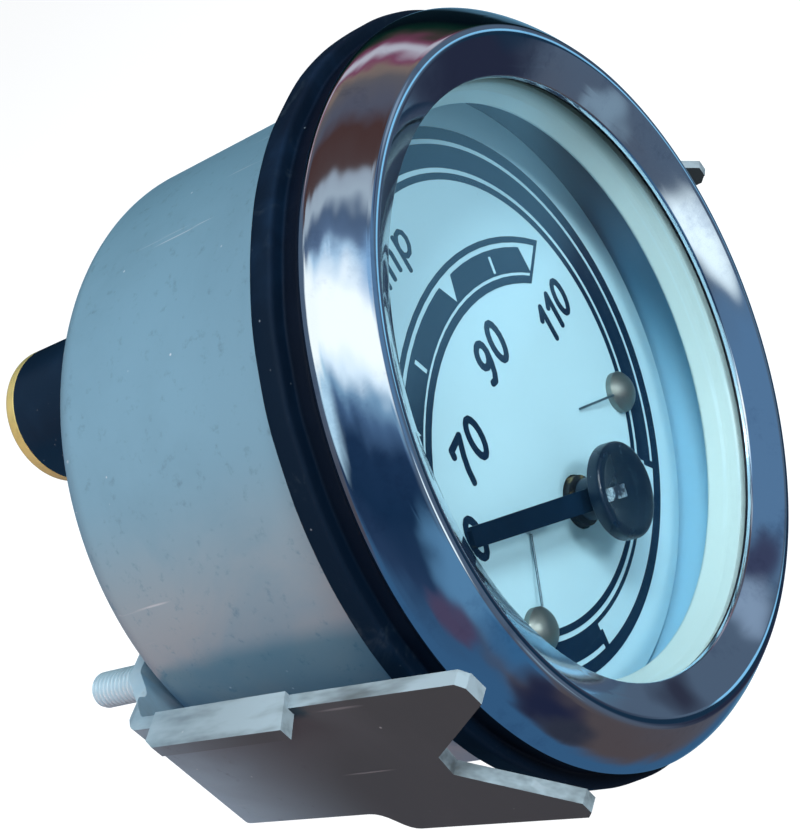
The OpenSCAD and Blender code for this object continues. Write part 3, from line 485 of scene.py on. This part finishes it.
def collar():
    """Bush darkened by age, with brass where it is rubbed."""
    look = Shader("collar", (0.022, 0.026, 0.030), 0.5, 0.42)
    look.tint(look.step(look.noise(420, 4, 0.65, warp=0.5), 0.47, 0.60), (0.34, 0.27, 0.10))
    look.bump(look.noise(1500, 3), 0.004)
    return look.material


def worn_strip_and_glint():
    """Pale strip, half rubbed away, whose paleness partly paints the glint on the cap's face."""
    # Painted glint: the pale colour also stands in for the glint that the cap's face shows here.
    look = Shader("worn_strip_and_glint", (0.40, 0.60, 0.70), 0.0, 0.45)
    look.tint(look.step(look.noise(1500, 4, 0.7, warp=0.8), 0.46, 0.60), (0.06, 0.13, 0.21))
    look.tint(look.step(look.noise(620, 3, 0.6, warp=0.4), 0.45, 0.56), (0.008, 0.020, 0.040))
    look.bump(look.noise(1200, 3), 0.01)
    return look.material


def paint(name, colour, roughness, sheen=0.5, lip_shade=None):
    """Matt paint; lip_shade is the colour that it takes under the bezel's lip, in its upper half."""
    look = Shader(name, colour, 0.0, roughness, Specular_IOR_Level=sheen)
    look.vary_roughness(look.noise(150, 3), roughness - 0.05, roughness + 0.08)
    look.tint(look.step(look.noise(60, 4, 0.6), 0.40, 0.80), shaded(colour, 0.95))
    if lip_shade:
        near_lip = look.along("Y", GLASS_REAR, GLASS_REAR + 1, 1.0, 0.0)
        look.tint(look.math("MULTIPLY", near_lip, look.along("Z", -4, 10)), lip_shade)
    look.bump(look.noise(1800, 2), 0.004)
    look.specks(0.11, 0.022, (0.20, 0.26, 0.30), 0.55)
    return look.material


def winding():
    look = Shader("winding", (0.34, 0.12, 0.05), 0.75, 0.32)
    turns = look.node("ShaderNodeTexWave", bands_direction="DIAGONAL")
    look.fill(turns, {"Vector": look.where, "Scale": 1400, "Distortion": 0.4})
    look.bump(turns.outputs["Fac"], 0.05)
    # Painted shade: darker in the grooves between the turns of wire.
    look.tint(look.step(turns.outputs["Fac"], 0.0, 0.35, 0.6, 0.0), (0.12, 0.04, 0.02))
    return look.material


def magnet():
    look = Shader("magnet", (0.045, 0.046, 0.05), 0.4, 0.5)
    look.tint(look.step(look.noise(900, 4), 0.5, 0.8), (0.10, 0.10, 0.11))
    look.bump(look.noise(1400, 4), 0.02)
    return look.material


def glass():
    """Clear glass that lets light through to the dial without darkening it."""
    look = Shader("glass", (0.93, 0.985, 1.0), 0.0, 0.0, Transmission_Weight=1.0, IOR=1.5)
    path = look.node("ShaderNodeLightPath").outputs
    blend = look.node("ShaderNodeMixShader")
    look.feed(blend.inputs[0], look.math("MAXIMUM", path["Is Shadow Ray"], path["Is Diffuse Ray"]))
    look.feed(blend.inputs[1], look.surface.outputs[0])
    look.feed(blend.inputs[2], look.node("ShaderNodeBsdfTransparent").outputs[0])
    look.feed(look.tree.nodes["Material Output"].inputs["Surface"], blend.outputs[0])
    look.vary_roughness(look.step(look.noise(120, 4), 0.60, 0.85), 0.0, 0.03)
    return look.material


MATERIALS = {
    "chrome": chrome(),
    "case": case_zinc(),
    "bracket": bracket_zinc(),
    "rubber": rubber(),
    "lamp_black": black_moulding("lamp_black", 0.30),
    "pointer_black": black_moulding("pointer_black", 0.38, 0.05),
    "hub_black": black_moulding("hub_black", 0.24),
    "insulator": black_moulding("insulator", 0.40),
    "brass": brass("brass", (0.66, 0.55, 0.24), 0.24),
    "worn_brass": brass("worn_brass", (0.56, 0.45, 0.20), 0.34, 0.5),
    "lamp_brass": brass("lamp_brass", (0.80, 0.68, 0.26), 0.30, 0.55),
    "bright_steel": steel("bright_steel", (0.62, 0.70, 0.76), 0.24),
    "stud_steel": steel("stud_steel", (0.48, 0.66, 0.76), 0.34, 0.35),
    "dull_steel": steel("dull_steel", (0.42, 0.46, 0.50), 0.38),
    "screw_head": steel("screw_head", (0.26, 0.28, 0.26), 0.40),
    "wire": steel("stop_wire", (0.16, 0.24, 0.29), 0.45),
    "wall": wall(),
    "collar": collar(),
    "strip": worn_strip_and_glint(),
    "cream": paint("cream", (0.52, 0.72, 0.73), 0.45, lip_shade=(0.14, 0.22, 0.21)),
    "dial": paint("dial_paint", (0.46, 0.76, 0.88), 0.50),
    "ink": paint("ink", (0.005, 0.020, 0.048), 0.50, sheen=0.04),
    "bobbin": paint("bobbin", (0.62, 0.60, 0.48), 0.45),
    "winding": winding(),
    "magnet": magnet(),
    "glass": glass(),
}

NODE_MATERIALS = {
    "case": "case", "bezel": "chrome", "panel_seal": "rubber", "lens_gasket": "rubber",
    "lens": "glass", "reflector_ring": "cream", "dial_plate": "dial", "dial_print": "ink",
    "dial_figures": "ink", "dial_screws": "screw_head", "stop_wires": "wire", "dial_posts": "brass",
    "movement_plate": "dull_steel", "plate_screws": "brass", "front_bush": "collar",
    "bobbin_front": "bobbin", "bobbin_rear": "bobbin", "upright_coil": "winding",
    "level_coil": "winding", "shield_can": "dull_steel", "rear_bearing": "brass",
    "rotor_magnet": "magnet", "pointer_spindle": "bright_steel", "pointer_hub": "pointer_black",
    "hub_strip": "strip", "pointer_arm": "pointer_black", "stud_left": "bright_steel",
    "stud_right": "bright_steel", "stud_spacers": "brass", "case_nuts": "bright_steel",
    "terminal_insulator": "insulator", "terminal_blades": "worn_brass", "clamp_bracket": "bracket",
    "clamp_washer": "bright_steel", "clamp_nut": "worn_brass", "lamp_holder": "lamp_black",
    "lamp_ring": "brass", "lamp_contact": "worn_brass", "bulb_base": "brass", "bulb_glass": "glass",
}

# Widths of the bevels on the CAD nodes whose edges show
BEVELS = {
    "clamp_bracket": 0.28, "case_nuts": 0.12, "clamp_washer": 0.08, "clamp_nut": 0.06,
    "terminal_insulator": 0.15, "terminal_blades": 0.08, "pointer_arm": 0.05, "hub_strip": 0.04,
}


def dress_nodes():
    """Gives each CAD node its material, and a small bevel where its edges show."""
    nodes["clamp_bracket"].visible_glossy = False
    for name, node in nodes.items():
        node.data.materials.clear()
        node.data.materials.append(MATERIALS[NODE_MATERIALS[name]])
        if name in BEVELS:
            edge = node.modifiers.new("edge", "BEVEL")
            edge.width = BEVELS[name] * MM
            edge.segments = 3
            edge.limit_method = "ANGLE"
            edge.angle_limit = math.radians(35)
            edge.harden_normals = True


# Pieces that show as smooth turned or formed metal and rubber

def bezel():
    """From the folded lip over the rim, the outer face and the crest to the window, and back inside."""
    fold = SEAL_FACE - BEZEL_WALL
    shoulder = (BEZEL_R - 0.05, SEAL_FACE - 0.7)
    outer_pull = (BEZEL_R - 0.6, -5.3)
    inner_pull = (BEZEL_R - 1.5, -5.4)
    inner_rim = (BEZEL_R - 0.7, -4)
    outer_crest = arc(CREST, CREST_R, *CREST_ARC, 12)
    inner_crest = arc(CREST, CREST_R - BEZEL_WALL, *reversed(CREST_ARC), 6)
    profile = [(BEZEL_LIP_R, SEAL_FACE)]
    profile += bend((BEZEL_R - 0.5, SEAL_FACE), (BEZEL_R + 0.02, SEAL_FACE), shoulder, 8)
    profile += bend(shoulder, outer_pull, outer_crest[0], 20)[1:]
    profile += outer_crest[1:]
    profile += rounded([(*outer_crest[-1], 0), (WINDOW_R, GASKET_FRONT - 0.4, 0.22),
                        (WINDOW_R, GASKET_FRONT, 0.05), (WINDOW_R + 1, GASKET_FRONT, 0)])[1:]
    profile += inner_crest
    profile += bend(inner_crest[-1], inner_pull, inner_rim, 8)[1:]
    profile += [(inner_rim[0], fold), (BEZEL_LIP_R, fold)]
    shape = lathe(profile, 360)
    piece = make_object("bezel_ring", shape, "gauge", [MATERIALS["chrome"]], 40)
    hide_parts("bezel")


def panel_seal():
    """Stepped rubber ring whose free edge runs in slight waves."""
    chance = random.Random(5)
    waves = [(chance.randint(3, 40), chance.uniform(0, 6.3), chance.uniform(0.2, 1)) for _ in range(9)]

    def wobble(angle, radius, y):
        """Moves the outer edge in and out, and its front along the axis too."""
        if radius < SEAL_STEP_R - 0.5:
            return 0, 0
        wave = sum(size * math.sin(count * angle + phase) for count, phase, size in waves) / len(waves)
        return wave * SEAL_WAVE_OUT, wave * SEAL_WAVE_ALONG if y < -0.5 else 0

    profile = rounded([(SEAL_BORE_R, 0, 0.1), (SEAL_R, 0, 0.35), (SEAL_R, -SEAL_FLANGE_T, 0.35),
                       (SEAL_STEP_R, -SEAL_FLANGE_T + 0.05, 0.2), (SEAL_STEP_R, SEAL_FACE, 0.3),
                       (SEAL_BORE_R, SEAL_FACE, 0.1)])
    shape = lathe(profile, 480, wobble=wobble)
    piece = make_object("seal_ring", shape, "gauge", [MATERIALS["rubber"]], 50)
    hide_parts("panel_seal")


def cut(piece, cutter):
    """Cuts a helper shape out of a piece and removes the helper."""
    hole = piece.modifiers.new("cut", "BOOLEAN")
    hole.operation = "DIFFERENCE"
    hole.solver = "EXACT"
    hole.object = cutter
    bpy.context.view_layer.update()
    graph = bpy.context.evaluated_depsgraph_get()
    made = bpy.data.meshes.new_from_object(piece.evaluated_get(graph))
    piece.modifiers.clear()
    piece.data = made
    bpy.data.objects.remove(cutter)


def case_holes():
    """The shapes cut out of the can's floor, for the lamp, the studs and the terminals."""
    middle = CASE_END - CASE_WALL / 2
    x, z = STUD_AT
    holes = bmesh.new()
    for at_x, at_z, hole_r in ((0, LAMP_Z, LAMP_R), (x, z, STUD_R), (-x, -z, STUD_R)):
        place = Matrix.Translation(Vector((at_x, middle, at_z)) * MM)
        place = place @ Matrix.Rotation(math.pi / 2, 4, "X")
        radius = (hole_r + HOLE_PLAY) * MM
        bmesh.ops.create_cone(holes, cap_ends=True, segments=64, radius1=radius, radius2=radius,
                              depth=CUT_DEPTH * MM, matrix=place)
    width, height = TERMINAL_SLOT
    slot = Matrix.Translation(Vector((0, middle, TERMINAL_Z)) * MM)
    slot = slot @ Matrix.Diagonal((width * MM, CUT_DEPTH * MM, height * MM, 1))
    bmesh.ops.create_cube(holes, size=1, matrix=slot)
    mesh = bpy.data.meshes.new("holes")
    holes.to_mesh(mesh)
    holes.free()
    cutter = bpy.data.objects.new("holes", mesh)
    bpy.context.collection.objects.link(cutter)
    return cutter


def case():
    """Spun can: barrel, rounded rear edge, floor with its openings, and the turned-out front flange."""
    corner = (CASE_R - CASE_CORNER, CASE_END - CASE_CORNER)
    profile = [(CASE_IN_R, FLANGE_Y[0]), (FLANGE_R, FLANGE_Y[0]), (FLANGE_R, FLANGE_Y[1]),
               (CASE_R, FLANGE_Y[1])]
    profile += arc(corner, CASE_CORNER, 0, 90, 16)
    profile += [(0, CASE_END), (0, CASE_END - CASE_WALL)]
    profile += arc(corner, CASE_CORNER - CASE_WALL, 90, 0, 12)
    shape = lathe(profile, 256)
    half_wall = CASE_WALL / 2
    for face in shape.faces:
        middle = face.calc_center_median() / MM
        radius = math.hypot(middle.x, middle.z)
        if radius > corner[0] and middle.y > corner[1]:
            from_corner = math.hypot(radius - corner[0], middle.y - corner[1])
            inside = from_corner < CASE_CORNER - half_wall
        else:
            inside = radius < CASE_R - half_wall and middle.y < CASE_END - half_wall
        face.material_index = 1 if inside else 0
    piece = make_object("can", shape, "gauge", [MATERIALS["case"], MATERIALS["wall"]])
    cut(piece, case_holes())
    piece.data.shade_smooth()
    piece.data.set_sharp_from_angle(angle=math.radians(35))
    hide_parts("case")


def reflector():
    """Painted ring behind the glass, whose cone narrows towards the dial."""
    mouth = REFLECTOR_R + 1.2
    wall_rear = GLASS_REAR + REFLECTOR_T
    profile = rounded([(mouth, GLASS_REAR, 0), (REFLECTOR_RIM_R, GLASS_REAR, 0.05),
                       (REFLECTOR_RIM_R, wall_rear, 0.1), (mouth + 0.8, wall_rear, 0.3),
                       (REFLECTOR_R + 0.8, REFLECTOR_REAR, 0.3), (REFLECTOR_R, REFLECTOR_REAR, 0.3)])
    shape = lathe(profile, 256)
    piece = make_object("reflector", shape, "gauge", [MATERIALS["cream"]], 40)
    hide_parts("reflector_ring")


def cap():
    """Hub of the pointer: stem and wide cap with a rounded rim and a shallow dished face."""
    dish = 0.06
    under = CAP_FRONT + CAP_T
    profile = [(0, CAP_FRONT + dish)]
    profile += rounded([(CAP_R - 0.9, CAP_FRONT + 0.05, 0), (CAP_R - 0.7, CAP_FRONT, 0.1),
                        (CAP_R, CAP_FRONT, 0.55), (CAP_R, under, 0.15), (HUB_STEM_R, under, 0.15),
                        (HUB_STEM_R, HUB_REAR, 0.15), (SPINDLE_R, HUB_REAR, 0)])
    profile += [(SPINDLE_R, CAP_FRONT + 0.5), (0, CAP_FRONT + 0.5)]
    shape = lathe(profile, 96, PIVOT_Z)
    piece = make_object("hub_cap", shape, "pointer", [MATERIALS["hub_black"]], 40)
    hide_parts("pointer_hub")


def thread_radius(y, turn):
    """Radius of the threaded end at y, turn being the share of a full turn about the axis."""
    phase = (y / THREAD_PITCH - turn) % 1
    groove = max(0, 1 - abs(phase - 0.5) / THREAD_HALF_WIDTH) * THREAD_DEPTH
    limit = STUD_R
    to_tip = STUD_END - y
    if to_tip < STUD_TIP:
        limit = STUD_R * (0.5 + 0.5 * math.sqrt(max(0, 1 - (1 - to_tip / STUD_TIP) ** 2)))
    return min(STUD_R - groove, limit)


def stud(side, name):
    """Stud with a plain shank in the can, a narrower waist behind it and an M3 thread at its free end."""
    steps, turns = 10, 40
    x, z = side * STUD_AT[0], side * STUD_AT[1]
    start = WAIST_Y[1] + WAIST_EDGE
    count = int((STUD_END - start) / THREAD_PITCH * steps)
    levels = [(STUD_FRONT, STUD_R), (WAIST_Y[0] - WAIST_EDGE, STUD_R),
              (WAIST_Y[0], WAIST_R), (WAIST_Y[1], WAIST_R)]
    levels += [(start + (STUD_END - start) * k / count, None) for k in range(count + 1)]
    shape = bmesh.new()
    rings = []
    for y, radius in levels:
        ring = []
        for index in range(turns):
            angle = 2 * math.pi * index / turns
            reach = radius or thread_radius(y, index / turns)
            ring.append(shape.verts.new(on_circle(angle, reach, x, y, z)))
        rings.append(ring)
    for ring, after in zip(rings, rings[1:]):
        join_rings(shape, ring, after)
    shape.faces.new(rings[0])
    shape.faces.new(rings[-1])
    piece = make_object(name + "_thread", shape, "gauge", [MATERIALS["stud_steel"]], 50)
    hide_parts(name)


def lamp():
    """Black body of the lamp holder, with the brass ring at its rear."""
    rear = LAMP_END - LAMP_RING_T
    socket_rear = LAMP_FRONT + LAMP_SOCKET_DEPTH
    profile = rounded([(LAMP_SOCKET_R, LAMP_FRONT, 0), (LAMP_R, LAMP_FRONT, 0.3), (LAMP_R, rear, 0.05),
                       (LAMP_CONTACT_R, rear, 0), (LAMP_CONTACT_R, socket_rear, 0),
                       (LAMP_SOCKET_R, socket_rear, 0)])
    shape = lathe(profile, 128, LAMP_Z)
    body = make_object("lamp_body", shape, "lamp", [MATERIALS["lamp_black"]], 40)
    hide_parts("lamp_holder")
    inner = LAMP_R - LAMP_RING_W
    profile = rounded([(inner, rear, 0), (LAMP_R, rear, 0.15), (LAMP_R, LAMP_END, 0.85),
                       (inner, LAMP_END, 0.3)], 10)
    shape = lathe(profile, 128, LAMP_Z)
    ring = make_object("lamp_rim", shape, "lamp", [MATERIALS["lamp_brass"]], 50)
    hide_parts("lamp_ring")


# Studio

def seen(right, up, back):
    """A direction given by the photograph's right, up and towards the camera."""
    return (VIEW_RIGHT * right + VIEW_UP * up + VIEW_BACK * back).normalized()


# The room's own colour low down and high up, and the plain light that matt surfaces get
ROOM_LOW = (0.085, 0.068, 0.072)
ROOM_HIGH = (0.085, 0.125, 0.185)
ROOM_LIGHT = (0.34, 0.37, 0.40)

# How finely and how far the room's directions are pushed about by noise
WAVER_SCALE = 6
WAVER = 0.20

# The room that the bezel's outer face shows, by angle in degrees from the camera up and over the top
BAND = [
    (-60, (0.038, 0.11, 0.22)), (-45, (0.035, 0.09, 0.18)), (-32, (0.02, 0.045, 0.10)),
    (-15, (0.008, 0.028, 0.07)), (0, (0.012, 0.035, 0.085)), (8, (0.07, 0.14, 0.26)),
    (13, (0.20, 0.36, 0.52)), (18, (0.85, 1.0, 1.1)), (24, (1.15, 1.2, 1.2)),
    (38, (1.15, 1.2, 1.2)), (46, (0.45, 0.66, 0.85)), (50, (0.10, 0.16, 0.27)),
    (56, (0.075, 0.12, 0.20)), (60, (0.40, 0.48, 0.55)), (66, (0.34, 0.40, 0.47)),
    (69, (0.08, 0.05, 0.05)), (80, (0.07, 0.035, 0.033)), (88, (0.09, 0.095, 0.13)),
    (97, (0.12, 0.11, 0.12)), (102, (0.22, 0.16, 0.135)), (105, (0.20, 0.055, 0.11)),
    (109, (0.50, 0.48, 0.54)), (112, (0.50, 0.48, 0.54)), (115, (0.19, 0.05, 0.10)),
    (119, (0.04, 0.035, 0.03)), (123, (0.003, 0.02, 0.014)), (130, (0.001, 0.004, 0.007)),
    (150, (0.004, 0.012, 0.018)),
]

# Cards of the room, one laid over another: direction, half angle and softness in degrees, colour
CARDS = [
    (seen(0.70, 0.50, 0.45), 20, 8, (0.10, 0.20, 0.34)),
    (seen(0.60, -0.35, 0.72), 14, 7, (0.10, 0.24, 0.40)),
    (seen(0.70, -0.55, 0.48), 10, 6, (0.04, 0.13, 0.26)),
    (seen(0.20, 0.10, -0.97), 22, 8, (0.12, 0.28, 0.42)),
    (seen(0.80, -0.05, -0.55), 17, 8, (0.02, 0.025, 0.05)),
    (seen(0.93, 0.17, -0.34), 10, 4, (0.01, 0.03, 0.06)),
    (seen(0.87, 0.42, -0.25), 7.6, 1.6, (0.26, 0.62, 0.92)),
    (seen(0.67, 0.49, -0.56), 5, 3, (0.03, 0.035, 0.06)),
    (seen(0.98, -0.17, 0.08), 4, 3, (0.21, 0.30, 0.38)),
    (seen(0.70, 0.70, 0.15), 4, 3, (0.045, 0.055, 0.11)),
    (seen(0.60, -0.75, 0.20), 8, 6, (0.015, 0.02, 0.05)),
    (seen(0.35, -0.62, 0.70), 7, 5, (0.075, 0.06, 0.115)),
    (seen(0.30, 0.66, 0.68), 6, 6, (0.25, 0.45, 0.70)),
    (seen(0.57, -0.80, 0.00), 6, 5, (0.03, 0.035, 0.055)),
    (seen(-0.58, 0.05, 0.81), 13, 8, (0.55, 0.80, 0.95)),
    (seen(-0.64, 0.40, 0.67), 15, 5, (1.1, 1.15, 1.1)),
    (seen(0.87, 0.04, 0.50), 6, 3, (1.0, 1.15, 1.2)),
    (seen(0.71, 0.71, -0.03), 5, 4, (0.25, 0.34, 0.46)),
]

# Lamps, hidden from polished metal: name, direction, distance and size in metres, power in watts, colour
LAMPS = [
    ("window", seen(-0.13, 0.58, 0.81), 0.6, 0.20, 3.0, (0.93, 0.99, 1.0)),
    ("front", seen(0.46, 0.39, 0.79), 0.6, 0.16, 1.6, (1.0, 1.0, 1.0)),
    ("left", seen(-0.85, 0.05, 0.50), 0.8, 0.5, 2.3, (0.76, 0.96, 1.0)),
    ("low", Vector((-0.97, 0.22, 0.06)).normalized(), 0.8, 0.3, 5.0, (1.0, 0.46, 0.32)),
]

# Floor: half its width and its distance below the gauge in metres, and its glow to the camera
FLOOR_HALF = 6
FLOOR_DROP = 0.03
FLOOR_GLOW = 0.84


class Room(Graph):
    """The room that polished metal and glass show, painted on the directions of the world."""

    def __init__(self, tree):
        super().__init__(tree, "Generated")
        self.direction = self.wavered()

    def vector(self, operation, *values):
        made = self.node("ShaderNodeVectorMath", operation=operation)
        for socket, value in zip(made.inputs, values):
            if isinstance(value, bpy.types.NodeSocket):
                self.feed(socket, value)
            else:
                socket.default_value = value
        return made.outputs

    def wavered(self):
        """A direction pushed about by noise, so that what the metal shows has uneven edges."""
        noise = self.noise(WAVER_SCALE, 1, output="Color")
        push = self.vector("MULTIPLY_ADD", noise, (WAVER,) * 3, (-WAVER / 2,) * 3)["Vector"]
        pushed = self.vector("ADD", self.where, push)["Vector"]
        return self.vector("NORMALIZE", pushed)["Vector"]

    def facing(self, axis):
        """How far a direction faces along an axis: the cosine of the angle between them."""
        return self.vector("DOT_PRODUCT", self.direction, axis.normalized())["Value"]

    def beside(self, right):
        """1 in the part of the room that the bezel's outer face shows, beside what the glass shows."""
        past = self.math("SUBTRACT", 1, self.step(right, 0.42, 0.60))
        return self.math("MULTIPLY", self.step(right, -0.85, -0.70), past)

    def band(self, up, back):
        """Colour by the angle from the camera over the top."""
        lo, hi = BAND[0][0], BAND[-1][0]
        turn = self.math("MULTIPLY", self.math("ARCTAN2", up, back), 180 / math.pi)
        ramp = self.node("ShaderNodeValToRGB")
        self.feed(ramp.inputs[0], self.math("DIVIDE", self.math("SUBTRACT", turn, lo), hi - lo))
        stops = ramp.color_ramp.elements
        while len(stops) < len(BAND):
            stops.new(0.5)
        for stop, (angle, colour) in zip(stops, BAND):
            stop.position = (angle - lo) / (hi - lo)
            stop.color = (*colour, 1)
        return ramp.outputs[0]

    def card(self, below, axis, size, soft, colour):
        """Lays a round card over the colours below."""
        outer = math.cos(math.radians(size + soft))
        inner = math.cos(math.radians(max(size - soft, 0)))
        return self.mix(self.step(self.facing(axis), outer, inner), below, colour)


def world():
    """White to the camera, plain light to matt surfaces, and the room to polished metal and glass."""
    made = bpy.data.worlds.new("studio")
    bpy.context.scene.world = made
    made.use_nodes = True
    made.node_tree.nodes.clear()
    room = Room(made.node_tree)
    up = room.facing(VIEW_UP)
    shown = room.mix(room.step(up, -0.75, 0.1), ROOM_LOW, ROOM_HIGH)
    strip = room.beside(room.facing(VIEW_RIGHT))
    shown = room.mix(strip, shown, room.band(up, room.facing(VIEW_BACK)))
    for card in CARDS:
        shown = room.card(shown, *card)
    path = room.node("ShaderNodeLightPath").outputs
    plain = room.mix(path["Is Camera Ray"], ROOM_LIGHT, (1, 1, 1))
    polished = room.math("MAXIMUM", path["Is Glossy Ray"], path["Is Transmission Ray"])
    background = room.node("ShaderNodeBackground")
    room.feed(background.inputs["Color"], room.mix(polished, plain, shown))
    room.feed(room.node("ShaderNodeOutputWorld").inputs["Surface"], background.outputs[0])


def lamps():
    for name, towards, distance, size, energy, colour in LAMPS:
        light = bpy.data.lights.new(name, "AREA")
        light.shape = "DISK"
        light.size = size
        light.energy = energy
        light.color = colour
        lamp_object = bpy.data.objects.new(name, light)
        bpy.context.collection.objects.link(lamp_object)
        lamp_object.location = towards * distance
        lamp_object.visible_glossy = False
        lamp_object.rotation_mode = "QUATERNION"
        lamp_object.rotation_quaternion = towards.to_track_quat("Z", "Y")


def floor():
    """Pale floor well below the gauge, white to the camera and still taking its shadow."""
    material = bpy.data.materials.new("floor")
    material.use_nodes = True
    material.node_tree.nodes.clear()
    graph = Graph(material.node_tree)
    matt = graph.node("ShaderNodeBsdfDiffuse")
    graph.feed(matt.inputs["Color"], (0.30, 0.31, 0.32))
    glow = graph.node("ShaderNodeEmission")
    graph.feed(glow.inputs["Color"], (1, 1, 1))
    to_camera = graph.node("ShaderNodeLightPath").outputs["Is Camera Ray"]
    graph.feed(glow.inputs["Strength"], graph.math("MULTIPLY", to_camera, FLOOR_GLOW))
    both = graph.node("ShaderNodeAddShader")
    graph.feed(both.inputs[0], matt.outputs[0])
    graph.feed(both.inputs[1], glow.outputs[0])
    graph.feed(graph.node("ShaderNodeOutputMaterial").inputs["Surface"], both.outputs[0])

    shape = bmesh.new()
    bmesh.ops.create_grid(shape, x_segments=1, y_segments=1, size=FLOOR_HALF)
    mesh = bpy.data.meshes.new("floor")
    shape.to_mesh(mesh)
    shape.free()
    mesh.materials.append(material)
    plane = bpy.data.objects.new("floor", mesh)
    bpy.context.collection.objects.link(plane)
    plane.location = (0, 0, cad_box[0].z - FLOOR_DROP)
    plane.visible_glossy = False
    plane.visible_transmission = False


bpy.context.scene.view_settings.view_transform = "Standard"
camera()
dress_nodes()
bezel()
panel_seal()
case()
reflector()
cap()
stud(-1, "stud_left")
stud(1, "stud_right")
lamp()
world()
lamps()
floor()

bpy.context.view_layer.update()
